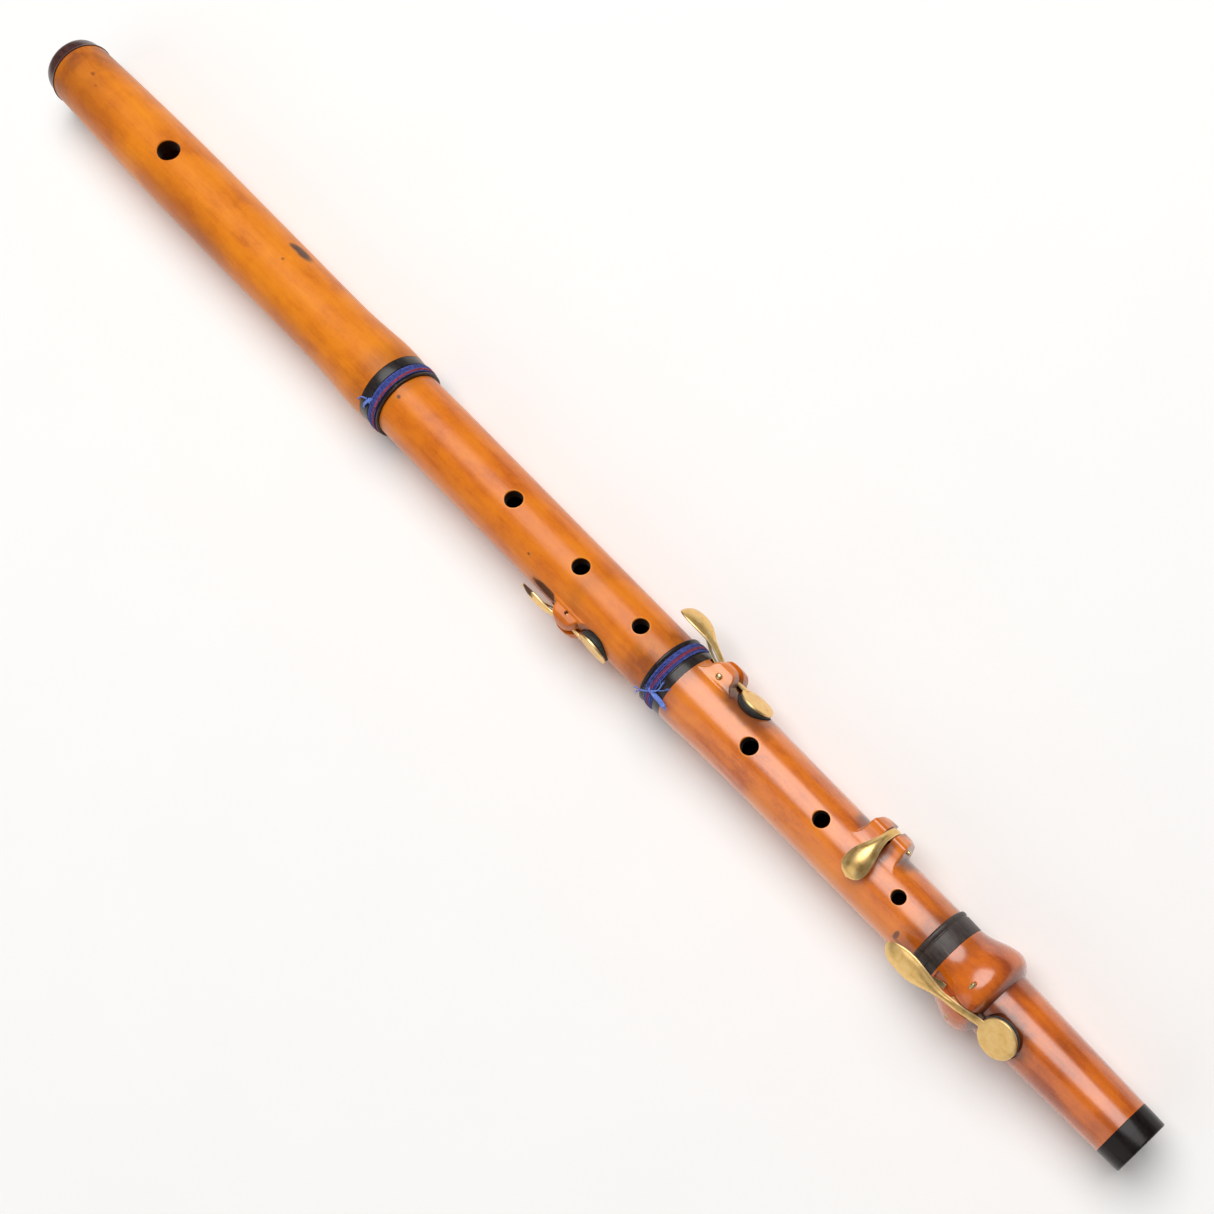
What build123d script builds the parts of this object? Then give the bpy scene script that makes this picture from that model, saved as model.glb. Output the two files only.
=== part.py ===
from build123d import *
import math
import os

os.makedirs("parts", exist_ok=True)

# ---------------------------------------------------------------------------
# Four-joint, four-key transverse flute in turned wood.
# Frame: +X runs along the bore from the head to the foot, +Z is up and the
# finger holes face up.  The origin is the centre of the foot's end face, so
# every station below is measured from the embouchure and shifted by SL.
# Angles are measured about the bore from +Z towards +Y.
# ---------------------------------------------------------------------------
SL = 523.4            # sounding length, embouchure centre to the foot's end


def X(d):
    """Station d mm from the embouchure, in the part's own frame."""
    return d - SL


# stations along the bore, from the embouchure
CAP_END, CAP_EDGE = -83.4, -75.5
HEAD_TENON_END = -79.0
RING1_0, RING1_1 = 146.7, 157.0
RING2_0, RING2_1 = 307.2, 317.4
RING3_0, RING3_1 = 436.5, 445.0
STEP = 464.3
FERRULE_0 = 515.1

# bores and sockets (radii)
HEAD_BORE = 9.5
UP_BORE_0, UP_BORE_1 = 9.25, 8.05
LO_BORE_0, LO_BORE_1 = 8.0, 6.35
FOOT_BORE = 6.2
SOCKET1, SOCKET2, SOCKET3 = 12.30, 10.90, 9.00
SHOULDER1, SHOULDER2, SHOULDER3 = 131.4, 327.4, 455.3
TENON1, TENON2, TENON3 = 131.9, 326.9, 454.8     # tenon tips
FIT = 0.05            # radial running clearance of a lapping in its socket
GAP = 0.15            # shoulder gap where two joints meet

# tenon radii: lands and the floor of the lapping's groove
LAND1, GROOVE1 = 12.05, 11.50
LAND2, GROOVE2 = 10.65, 10.15
LAND3, GROOVE3 = 8.78, 8.35

# keys: pin station, angle, pin radius from the bore axis, flap station and radius
BB = dict(x=268.4, phi=-80.0, r=13.2, fx=282.4, fr=6.8, seat=11.1)
GS = dict(x=326.0, phi=69.6, r=13.5, fx=340.3, fr=6.6, seat=10.6)
EB = dict(x=456.9, phi=-38.0, r=13.45, fx=472.7, fr=6.9, seat=9.8)
FX, F_PIN_Y, F_PIN_Z = 404.9, 13.4, 7.6
F_PHI, F_SEAT, F_FR = 106.0, 10.1, 6.4
PAD_T, FLAP_T = 2.9, 0.9
SLOT = 3.6            # width of the slot that a lever turns in
LEVER_W = 3.1         # width of a lever's shank and barrel
PIN_R, PIN_HOLE = 0.80, 0.85
WOOD_PIN_HOLE = 0.82
BARREL_R = 1.75
SPRING_T, SPRING_W = 0.36, 2.4


def unit(phi):
    a = math.radians(phi)
    return math.sin(a), math.cos(a)


def plan(x, phi):
    """Sketch plane seen from outside: local x along the bore, z outwards."""
    s, c = unit(phi)
    return Plane(origin=(X(x), 0, 0), x_dir=(1, 0, 0), z_dir=(0, s, c))


def side(x, phi):
    """Sketch plane through the bore axis: local x along the bore, y outwards."""
    s, c = unit(phi)
    return Plane(origin=(X(x), 0, 0), x_dir=(1, 0, 0), z_dir=(0, -c, s))


def cross(x, phi):
    """Sketch plane across the bore: local x tangential, y outwards."""
    s, c = unit(phi)
    return Plane(origin=(X(x), 0, 0), x_dir=(0, c, -s), z_dir=(1, 0, 0))


def turned(outer, inner):
    """Closed profile of a turned piece: outer stations, then inner ones back."""
    pts = [(X(x), r) for x, r in outer] + [(X(x), r) for x, r in reversed(inner)]
    return pts


# ---------------------------------------------------------------------------
# Head joint: turned tube with a barrel swelling that ends in the first socket
# ---------------------------------------------------------------------------
HEAD_SPLINE = [(CAP_EDGE, 14.05), (-50, 14.62), (-25, 15.05), (-4, 15.25), (36, 15.13),
               (76, 14.86), (104, 14.62), (119, 14.80), (130, 15.42), (140, 15.86), (RING1_0, 15.50)]

with BuildPart() as head_joint:
    with BuildSketch(Plane.XZ) as head_profile:
        with BuildLine():
            Spline([(X(a), b) for a, b in HEAD_SPLINE])
            Polyline((X(RING1_0), 15.50), (X(RING1_0), 13.80), (X(RING1_1), 13.80),
                     (X(RING1_1), SOCKET1), (X(SHOULDER1), SOCKET1), (X(SHOULDER1), HEAD_BORE),
                     (X(HEAD_TENON_END), HEAD_BORE), (X(HEAD_TENON_END), 12.30),
                     (X(CAP_EDGE), 12.30), (X(CAP_EDGE), 14.05))
        make_face()
    revolve(axis=Axis.X, revolution_arc=360)
    # embouchure: an oval cut square to the wall, a little wider inside
    with BuildSketch(plan(0, 12.3)):
        Ellipse(5.45, 4.85)
    extrude(amount=20, mode=Mode.SUBTRACT)
head_joint.part.label = "head_joint"
export_step(head_joint.part, "parts/head_joint.step")

with BuildPart() as end_cap:
    with BuildSketch(Plane.XZ):
        with BuildLine():
            Polyline((X(CAP_END - 0.15), 0), (X(CAP_END - 0.15), 11.2))
            Spline([(X(CAP_END - 0.15), 11.2), (X(CAP_END + 0.35), 12.5), (X(CAP_END + 1.7), 13.25),
                    (X(CAP_END + 4.0), 13.60),
                    (X(CAP_EDGE - 1.4), 13.75)])
            Polyline((X(CAP_EDGE - 1.4), 13.75), (X(CAP_EDGE - 0.9), 14.35), (X(CAP_EDGE - 0.15), 14.45),
                     (X(CAP_EDGE - 0.1), 12.36), (X(HEAD_TENON_END - 0.15), 12.36),
                     (X(HEAD_TENON_END - 0.15), 0), (X(CAP_END - 0.15), 0))
        make_face()
    revolve(axis=Axis.X, revolution_arc=360)
end_cap.part.label = "end_cap"
export_step(end_cap.part, "parts/end_cap.step")

with BuildPart() as stopper_cork:
    with BuildSketch(Plane.XZ):
        with BuildLine():
            Polyline((X(-34.5), 0), (X(-34.5), 8.9), (X(-33.9), HEAD_BORE - 0.04),
                     (X(-18.1), HEAD_BORE - 0.04), (X(-17.5), 8.9), (X(-17.5), 0), (X(-34.5), 0))
        make_face()
    revolve(axis=Axis.X, revolution_arc=360)
stopper_cork.part.label = "stopper_cork"
export_step(stopper_cork.part, "parts/stopper_cork.step")

# ring on the head's socket: flat band, thread groove, thin flared lip
with BuildPart() as head_socket_ring:
    with BuildSketch(Plane.XZ):
        with BuildLine():
            Polyline(turned([(RING1_0 + 0.02, 15.45), (151.1, 15.28), (151.25, 14.80), (155.7, 14.72),
                             (155.95, 14.98), (156.5, 15.18), (RING1_1 - 0.1, 15.28), (RING1_1, 15.20)],
                            [(RING1_0 + 0.02, 13.83), (RING1_1, 13.83)]), close=True)
        make_face()
    revolve(axis=Axis.X, revolution_arc=360)
head_socket_ring.part.label = "head_socket_ring"
export_step(head_socket_ring.part, "parts/head_socket_ring.step")

with BuildPart() as head_thread_binding:
    with BuildSketch(Plane.XZ):
        with BuildLine():
            Polyline(turned([(151.45, 15.45), (152.2, 15.62), (154.8, 15.58), (155.55, 15.30)],
                            [(151.45, 14.86), (155.55, 14.82)]), close=True)
        make_face()
    revolve(axis=Axis.X, revolution_arc=360)
head_thread_binding.part.label = "head_thread_binding"
export_step(head_thread_binding.part, "parts/head_thread_binding.step")


# ---------------------------------------------------------------------------
# Upper middle joint: two lapped tenons, three finger holes, the thumb key's block
# ---------------------------------------------------------------------------
def block_side(u0, u1, top, foot_r):
    """Side outline of a carved block: a round arch with a small flared foot."""
    m, h = (u0 + u1) / 2, (u1 - u0) / 2
    low = top - h
    arch = []
    for i in range(13):
        a = math.radians(166 - 152 * i / 12)
        arch.append((m + h * math.cos(a), low + h * math.sin(a)))
    return [(u0 - 2.2, foot_r - 1.6), (u0 - 0.8, foot_r - 0.2)] + arch + [(u1 + 0.8, foot_r - 0.2),
                                                                        (u1 + 2.2, foot_r - 1.6)]


UP_SPLINE = [(RING1_1 + GAP, 13.93), (176.5, 13.97), (193.5, 13.84), (218, 13.68), (243.5, 13.48),
             (280, 13.24), (RING2_0 - GAP, 13.08)]

with BuildPart() as upper_middle_joint:
    with BuildSketch(Plane.XZ):
        with BuildLine():
            Spline([(X(a), b) for a, b in UP_SPLINE])
            Polyline((X(RING2_0 - GAP), 13.08), (X(RING2_0 - GAP), LAND2), (X(308.6), LAND2), (X(308.6), GROOVE2),
                     (X(324.4), GROOVE2), (X(324.4), LAND2), (X(TENON2 - 0.4), LAND2), (X(TENON2), LAND2 - 0.4),
                     (X(TENON2), UP_BORE_1), (X(TENON1), UP_BORE_0), (X(TENON1), LAND1 - 0.4),
                     (X(TENON1 + 0.4), LAND1), (X(134.6), LAND1), (X(134.6), GROOVE1), (X(153.4), GROOVE1),
                     (X(153.4), LAND1), (X(RING1_1 + GAP), LAND1), (X(RING1_1 + GAP), 13.93))
        make_face()
    revolve(axis=Axis.X, revolution_arc=360)
    # thumb-key block: side outline across the cheeks, kept inside the turned ring
    with BuildPart(mode=Mode.PRIVATE) as bb_block:
        with BuildSketch(side(BB["x"], BB["phi"])):
            with BuildLine():
                Polyline([(a, b) for a, b in block_side(-6.2, 5.5, 18.0, 13.2)], close=True)
            make_face()
        extrude(amount=9, both=True)
        with BuildSketch(cross(BB["x"] - 12, BB["phi"])):
            with BuildLine():
                Polyline((-8.9, 9.0), (-7.6, 10.6), (-6.75, 12.6), (-6.4, 15.3), (-5.6, 16.6), (-3.2, 17.6),
                         (0, 18.0), (3.2, 17.6), (5.6, 16.6), (6.4, 15.3), (6.75, 12.6), (7.6, 10.6),
                         (8.9, 9.0), (-8.9, 9.0))
            make_face()
        extrude(amount=24, mode=Mode.INTERSECT)
    add(bb_block.part)
    # slot for the lever, open at both ends of the block
    with BuildSketch(plan(BB["x"], BB["phi"]).offset(11.3)):
        with Locations((1.5, 0)):
            SlotOverall(22, SLOT)
    extrude(amount=8, mode=Mode.SUBTRACT)
    # flat seat and tone hole under the flap
    with BuildSketch(plan(BB["fx"], BB["phi"]).offset(BB["seat"])):
        Circle(BB["fr"] + 0.5)
    extrude(amount=6.5, mode=Mode.SUBTRACT)
    with BuildSketch(plan(BB["fx"], BB["phi"])):
        Circle(3.0)
    extrude(amount=16, mode=Mode.SUBTRACT)
    # pin hole through both cheeks
    with BuildSketch(side(BB["x"], BB["phi"])):
        with Locations((0, BB["r"])):
            Circle(WOOD_PIN_HOLE)
    extrude(amount=10, both=True, mode=Mode.SUBTRACT)
    # finger holes with a broken rim
    for hx, hphi, hr, rr in ((223.9, 13.6, 3.55, 13.64), (261.4, 14.5, 3.40, 13.36), (293.3, 15.5, 3.10, 13.16)):
        with BuildSketch(plan(hx, hphi)):
            Circle(hr)
        extrude(amount=20, mode=Mode.SUBTRACT)
        with BuildSketch(plan(hx, hphi).offset(rr - 0.42)):
            Circle(hr)
        extrude(amount=1.2, taper=-38, mode=Mode.SUBTRACT)
    # fill the bore again where the block reached inwards
    with BuildSketch(Plane.XZ):
        with BuildLine():
            Polyline((X(TENON1 - 1), 0), (X(TENON1 - 1), UP_BORE_0), (X(TENON1), UP_BORE_0),
                     (X(TENON2), UP_BORE_1), (X(TENON2 + 1), UP_BORE_1), (X(TENON2 + 1), 0), (X(TENON1 - 1), 0))
        make_face()
    revolve(axis=Axis.X, revolution_arc=360, mode=Mode.SUBTRACT)
upper_middle_joint.part.label = "upper_middle_joint"
export_step(upper_middle_joint.part, "parts/upper_middle_joint.step")

with BuildPart() as head_tenon_lapping:
    with BuildSketch(Plane.XZ):
        with BuildLine():
            Polyline(turned([(134.7, SOCKET1 - FIT), (153.3, SOCKET1 - FIT)],
                            [(134.7, GROOVE1 + 0.05), (153.3, GROOVE1 + 0.05)]), close=True)
        make_face()
    revolve(axis=Axis.X, revolution_arc=360)
head_tenon_lapping.part.label = "head_tenon_lapping"
export_step(head_tenon_lapping.part, "parts/head_tenon_lapping.step")

with BuildPart() as middle_tenon_lapping:
    with BuildSketch(Plane.XZ):
        with BuildLine():
            Polyline(turned([(308.7, SOCKET2 - FIT), (324.3, SOCKET2 - FIT)],
                            [(308.7, GROOVE2 + 0.05), (324.3, GROOVE2 + 0.05)]), close=True)
        make_face()
    revolve(axis=Axis.X, revolution_arc=360)
middle_tenon_lapping.part.label = "middle_tenon_lapping"
export_step(middle_tenon_lapping.part, "parts/middle_tenon_lapping.step")

with BuildPart() as foot_tenon_lapping:
    with BuildSketch(Plane.XZ):
        with BuildLine():
            Polyline(turned([(436.7, SOCKET3 - FIT), (452.3, SOCKET3 - FIT)],
                            [(436.7, GROOVE3 + 0.05), (452.3, GROOVE3 + 0.05)]), close=True)
        make_face()
    revolve(axis=Axis.X, revolution_arc=360)
foot_tenon_lapping.part.label = "foot_tenon_lapping"
export_step(foot_tenon_lapping.part, "parts/foot_tenon_lapping.step")

# ---------------------------------------------------------------------------
# Lower middle joint: socket at the head side, tenon at the foot side, three
# finger holes, the G sharp block and the two-eared block of the short F key
# ---------------------------------------------------------------------------
LO_SPLINE = [(RING2_1, 13.72), (322, 13.62), (330, 13.22), (342, 12.80), (360, 12.52), (379, 12.31),
             (400, 12.14), (422, 11.96), (RING3_0 - GAP, 11.86)]

with BuildPart() as lower_middle_joint:
    with BuildSketch(Plane.XZ):
        with BuildLine():
            Spline([(X(a), b) for a, b in LO_SPLINE])
            Polyline((X(RING3_0 - GAP), 11.86), (X(RING3_0 - GAP), LAND3), (X(436.6), LAND3), (X(436.6), GROOVE3),
                     (X(452.4), GROOVE3), (X(452.4), LAND3), (X(TENON3 - 0.3), LAND3), (X(TENON3), LAND3 - 0.3),
                     (X(TENON3), LO_BORE_1), (X(SHOULDER2), LO_BORE_0), (X(SHOULDER2), SOCKET2),
                     (X(RING2_0), SOCKET2), (X(RING2_0), 12.40), (X(RING2_1), 12.40), (X(RING2_1), 13.72))
        make_face()
    revolve(axis=Axis.X, revolution_arc=360)
    with BuildPart(mode=Mode.PRIVATE) as gs_block:
        with BuildSketch(side(GS["x"], GS["phi"])):
            with BuildLine():
                Polyline([(a, b) for a, b in block_side(-5.6, 5.5, 18.3, 13.0)], close=True)
            make_face()
        extrude(amount=9.5, both=True)
        with BuildSketch(cross(GS["x"] - 12, GS["phi"])):
            with BuildLine():
                Polyline((-9.6, 8.4), (-8.5, 9.9), (-7.2, 11.4), (-6.7, 13.2), (-6.4, 15.2), (-5.6, 16.7),
                         (-3.2, 17.8), (0, 18.3), (3.2, 17.8), (5.6, 16.7), (6.4, 15.2), (6.7, 13.2),
                         (7.2, 11.4), (8.5, 9.9), (9.6, 8.4), (-9.6, 8.4))
            make_face()
        extrude(amount=24, mode=Mode.INTERSECT)
    add(gs_block.part)
    with BuildSketch(plan(GS["x"], GS["phi"]).offset(11.5)):
        with Locations((1.5, 0)):
            SlotOverall(21, SLOT)
    extrude(amount=8, mode=Mode.SUBTRACT)
    with BuildSketch(plan(GS["fx"], GS["phi"]).offset(GS["seat"])):
        Circle(GS["fr"] + 0.5)
    extrude(amount=6.5, mode=Mode.SUBTRACT)
    with BuildSketch(plan(GS["fx"], GS["phi"])):
        Circle(3.2)
    extrude(amount=16, mode=Mode.SUBTRACT)
    with BuildSketch(side(GS["x"], GS["phi"])):
        with Locations((0, GS["r"])):
            Circle(WOOD_PIN_HOLE)
    extrude(amount=10, both=True, mode=Mode.SUBTRACT)
    # short F block: carved from a turned ring, front face cut level, two ears
    with BuildPart(mode=Mode.PRIVATE) as f_block:
        with BuildSketch(Plane.YZ.offset(X(FX) - 12)):
            with BuildLine():
                Polyline((4.4, 9.0), (6.2, 10.55), (8.6, 10.75), (11.2, 11.1), (13.2, 11.6), (14.3, 10.9),
                         (15.9, 8.2), (17.0, 5.0), (17.25, 2.2), (16.6, 0.4), (15.0, -0.4), (9.0, -0.8),
                         (9.0, 6.0), (4.4, 9.0))
            make_face()
        extrude(amount=24)
        with BuildSketch(Plane.XY.offset(-4)):
            with BuildLine():
                Polyline((X(FX) - 9.2, 3.0), (X(FX) - 8.3, 6.4), (X(FX) - 7.8, 9.5), (X(FX) - 7.4, 13.5),
                         (X(FX) - 6.4, 16.4), (X(FX) - 4.0, 17.6), (X(FX) + 4.0, 17.6), (X(FX) + 6.4, 16.4),
                         (X(FX) + 7.4, 13.5), (X(FX) + 7.8, 9.5), (X(FX) + 8.3, 6.4), (X(FX) + 9.2, 3.0),
                         (X(FX) - 9.2, 3.0))
            make_face()
        extrude(amount=20, mode=Mode.INTERSECT)
    add(f_block.part)
    # slot between the ears, then the flat seat and tone hole of its flap
    with BuildSketch(Plane.YZ.offset(X(FX) - SLOT / 2)):
        with BuildLine():
            Polyline((6.0, 11.9), (9.3, 8.7), (10.6, 6.0), (10.9, 2.0), (10.6, -3.0), (19.5, -3.0),
                     (19.5, 14.0), (6.0, 14.0), (6.0, 11.9))
        make_face()
    extrude(amount=SLOT, mode=Mode.SUBTRACT)
    with BuildSketch(plan(FX, F_PHI).offset(F_SEAT)):
        Circle(F_FR + 0.35)
    extrude(amount=9, mode=Mode.SUBTRACT)
    with BuildSketch(plan(FX, F_PHI)):
        Circle(2.9)
    extrude(amount=16, mode=Mode.SUBTRACT)
    with BuildSketch(Plane.YZ.offset(X(FX) - 11)):
        with Locations((F_PIN_Y, F_PIN_Z)):
            Circle(WOOD_PIN_HOLE)
    extrude(amount=22, mode=Mode.SUBTRACT)
    for hx, hphi, hr, rr in ((351.2, 4.7, 3.20, 12.63), (385.7, 4.5, 2.95, 12.25), (421.1, 5.0, 2.50, 11.97)):
        with BuildSketch(plan(hx, hphi)):
            Circle(hr)
        extrude(amount=20, mode=Mode.SUBTRACT)
        with BuildSketch(plan(hx, hphi).offset(rr - 0.42)):
            Circle(hr)
        extrude(amount=1.2, taper=-38, mode=Mode.SUBTRACT)
    with BuildSketch(Plane.XZ):
        with BuildLine():
            Polyline((X(RING2_0 - 1), 0), (X(RING2_0 - 1), SOCKET2), (X(SHOULDER2), SOCKET2), (X(SHOULDER2), LO_BORE_0),
                     (X(TENON3), LO_BORE_1), (X(TENON3 + 1), LO_BORE_1), (X(TENON3 + 1), 0), (X(RING2_0 - 1), 0))
        make_face()
    revolve(axis=Axis.X, revolution_arc=360, mode=Mode.SUBTRACT)
lower_middle_joint.part.label = "lower_middle_joint"
export_step(lower_middle_joint.part, "parts/lower_middle_joint.step")

with BuildPart() as lower_socket_ring:
    with BuildSketch(Plane.XZ):
        with BuildLine():
            Polyline(turned([(RING2_0, 13.75), (RING2_0 + 0.2, 14.15), (RING2_0 + 0.9, 14.2), (RING2_0 + 1.5, 13.9),
                             (309.0, 13.45), (313.9, 13.35), (314.1, 13.83), (RING2_1 - 0.02, 13.74)],
                            [(RING2_0, 12.43), (RING2_1 - 0.02, 12.43)]), close=True)
        make_face()
    revolve(axis=Axis.X, revolution_arc=360)
lower_socket_ring.part.label = "lower_socket_ring"
export_step(lower_socket_ring.part, "parts/lower_socket_ring.step")

with BuildPart() as lower_thread_binding:
    with BuildSketch(Plane.XZ):
        with BuildLine():
            Polyline(turned([(309.15, 14.05), (309.9, 14.22), (312.9, 14.18), (313.75, 13.95)],
                            [(309.15, 13.50), (313.75, 13.42)]), close=True)
        make_face()
    revolve(axis=Axis.X, revolution_arc=360)
lower_thread_binding.part.label = "lower_thread_binding"
export_step(lower_thread_binding.part, "parts/lower_thread_binding.step")

# ---------------------------------------------------------------------------
# Foot joint: socket, barrel swelling slotted for the E flat key, tapering tube
# ---------------------------------------------------------------------------
with BuildPart() as foot_joint:
    with BuildSketch(Plane.XZ):
        with BuildLine():
            Spline([(X(a), b) for a, b in [(RING3_1, 12.35), (447.4, 12.72), (450.2, 13.55), (453.4, 14.85), (456.4, 15.75),
                                           (458.6, 16.00), (460.8, 15.55), (462.6, 14.35), (463.7, 12.95),
                                           (STEP, 12.20)]])
            Polyline((X(STEP), 12.20), (X(STEP) + 0.12, 11.86))
            Spline([(X(STEP) + 0.12, 11.86), (X(474), 11.52), (X(483.5), 11.20), (X(500.5), 10.70), (X(FERRULE_0), 10.27)])
            Polyline((X(FERRULE_0), 10.27), (X(FERRULE_0), 8.60), (X(SL), 8.60), (X(SL), FOOT_BORE),
                     (X(SHOULDER3), FOOT_BORE), (X(SHOULDER3), SOCKET3), (X(RING3_0), SOCKET3),
                     (X(RING3_0), 11.10), (X(RING3_1), 11.10), (X(RING3_1), 12.35))
        make_face()
    revolve(axis=Axis.X, revolution_arc=360)
    with BuildSketch(plan(EB["x"], EB["phi"]).offset(11.2)):
        with Locations((-1.2, 0)):
            Rectangle(20, SLOT)
    extrude(amount=8, mode=Mode.SUBTRACT)
    with BuildSketch(plan(EB["fx"], EB["phi"]).offset(EB["seat"])):
        Circle(EB["fr"] + 0.45)
    extrude(amount=4.6, mode=Mode.SUBTRACT)
    with BuildSketch(plan(EB["fx"], EB["phi"])):
        Circle(3.6)
    extrude(amount=14, mode=Mode.SUBTRACT)
    with BuildSketch(side(EB["x"], EB["phi"])):
        with Locations((0, EB["r"])):
            Circle(WOOD_PIN_HOLE)
    extrude(amount=12, both=True, mode=Mode.SUBTRACT)
foot_joint.part.label = "foot_joint"
export_step(foot_joint.part, "parts/foot_joint.step")

with BuildPart() as foot_socket_ring:
    with BuildSketch(Plane.XZ):
        with BuildLine():
            Polyline(turned([(RING3_0, 12.25), (RING3_0 + 0.35, 12.70), (RING3_0 + 1.0, 12.80), (RING3_0 + 1.6, 12.62),
                             (RING3_0 + 1.9, 12.25), (RING3_0 + 2.3, 12.28), (RING3_0 + 2.6, 12.58), (440.0, 12.52),
                             (RING3_1 - 0.02, 12.38)],
                            [(RING3_0, 11.13), (RING3_1 - 0.02, 11.13)]), close=True)
        make_face()
    revolve(axis=Axis.X, revolution_arc=360)
    # shallow relief that clears the E flat key's leaf spring and lever
    with BuildSketch(plan(EB["x"], EB["phi"]).offset(11.95)):
        with Locations((-13.0, 0)):
            Rectangle(5.0, SLOT)
    extrude(amount=3, mode=Mode.SUBTRACT)
foot_socket_ring.part.label = "foot_socket_ring"
export_step(foot_socket_ring.part, "parts/foot_socket_ring.step")

with BuildPart() as foot_end_ferrule:
    with BuildSketch(Plane.XZ):
        with BuildLine():
            Polyline(turned([(FERRULE_0 + 0.02, 10.30), (519, 10.20), (SL - 0.35, 10.06), (SL, 9.75)],
                            [(FERRULE_0 + 0.02, 8.62), (SL, 8.62)]), close=True)
        make_face()
    revolve(axis=Axis.X, revolution_arc=360)
foot_end_ferrule.part.label = "foot_end_ferrule"
export_step(foot_end_ferrule.part, "parts/foot_end_ferrule.step")


# ---------------------------------------------------------------------------
# Keys.  A lever is its side outline cut to its plan outline: touch, shank,
# pivot barrel and round flap in one piece of brass.
# ---------------------------------------------------------------------------
def strip(top, t):
    """Closed side outline of a bent strip: its outer line and its thickness."""
    return list(top) + [(a, b - t) for a, b in reversed(top)]


def leaf_plan(tip, waist, half, neck):
    """Half-width stations of a leaf-shaped touch from its tip to its waist."""
    n = 9
    pts = []
    for i in range(n + 1):
        f = i / n
        w = half * math.sin(math.pi * min(1.0, f * 1.0) ** 0.62) ** 0.62 if 0 < f < 1 else 0
        pts.append((tip + (waist - tip) * f, max(w, neck * f)))
    return pts


def lever_plan(tip, waist, half, neck, flap):
    upper = [(a, max(b, 0.02)) for a, b in leaf_plan(tip, waist, half, neck)]
    upper[0] = (tip, 0.6)
    return upper + [(flap, neck)]


# thumb key (B flat)
with BuildPart() as b_flat_lever:
    with BuildSketch(side(BB["x"], BB["phi"])):
        with BuildLine():
            Polyline(strip([(-22.6, 16.75), (-19.5, 17.1), (-14, 17.25), (-9, 17.0), (-5, 16.2), (-2.2, 15.5),
                            (2.2, 15.2), (5.5, 15.25), (9.0, 15.3)], 1.25), close=True)
        make_face()
    extrude(amount=6, both=True)
    with BuildSketch(plan(BB["x"], BB["phi"])):
        with BuildLine():
            top = lever_plan(-22.6, -6.2, 4.7, LEVER_W / 2, 9.0)
            Polyline(top + [(a, -b) for a, b in reversed(top)], close=True)
        make_face()
    extrude(amount=20, mode=Mode.INTERSECT)
    with BuildSketch(side(BB["x"], BB["phi"])):
        with Locations((0, BB["r"])):
            Circle(BARREL_R)
        with BuildLine():
            Polyline((-1.75, BB["r"]), (1.75, BB["r"]), (2.3, 14.4), (-2.3, 14.4), (-1.75, BB["r"]))
        make_face()
    extrude(amount=LEVER_W / 2, both=True)
    with BuildSketch(plan(BB["fx"], BB["phi"]).offset(BB["seat"] + PAD_T)):
        Circle(BB["fr"])
    extrude(amount=FLAP_T)
    with BuildSketch(side(BB["x"], BB["phi"])):
        with Locations((0, BB["r"])):
            Circle(PIN_HOLE)
    extrude(amount=6, both=True, mode=Mode.SUBTRACT)
b_flat_lever.part.label = "b_flat_lever"
export_step(b_flat_lever.part, "parts/b_flat_lever.step")

# G sharp key, left little finger: the touch reaches over the ring
with BuildPart() as g_sharp_lever:
    with BuildSketch(side(GS["x"], GS["phi"])):
        with BuildLine():
            Polyline(strip([(-28.5, 19.0), (-27.6, 19.9), (-25.2, 20.8), (-21, 21.1), (-17, 20.6), (-12, 19.1),
                            (-7, 17.2), (-2.5, 15.6), (2.2, 14.85), (5.5, 14.8), (9.0, 14.85)], 1.25), close=True)
        make_face()
    extrude(amount=6, both=True)
    with BuildSketch(plan(GS["x"], GS["phi"])):
        with BuildLine():
            top = lever_plan(-28.5, -9.0, 4.9, LEVER_W / 2, 9.0)
            Polyline(top + [(a, -b) for a, b in reversed(top)], close=True)
        make_face()
    extrude(amount=24, mode=Mode.INTERSECT)
    with BuildSketch(side(GS["x"], GS["phi"])):
        with Locations((0, GS["r"])):
            Circle(BARREL_R)
    extrude(amount=LEVER_W / 2, both=True)
    with BuildSketch(plan(GS["fx"], GS["phi"]).offset(GS["seat"] + PAD_T)):
        Circle(GS["fr"])
    extrude(amount=FLAP_T)
    with BuildSketch(side(GS["x"], GS["phi"])):
        with Locations((0, GS["r"])):
            Circle(PIN_HOLE)
    extrude(amount=6, both=True, mode=Mode.SUBTRACT)
g_sharp_lever.part.label = "g_sharp_lever"
export_step(g_sharp_lever.part, "parts/g_sharp_lever.step")

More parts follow.
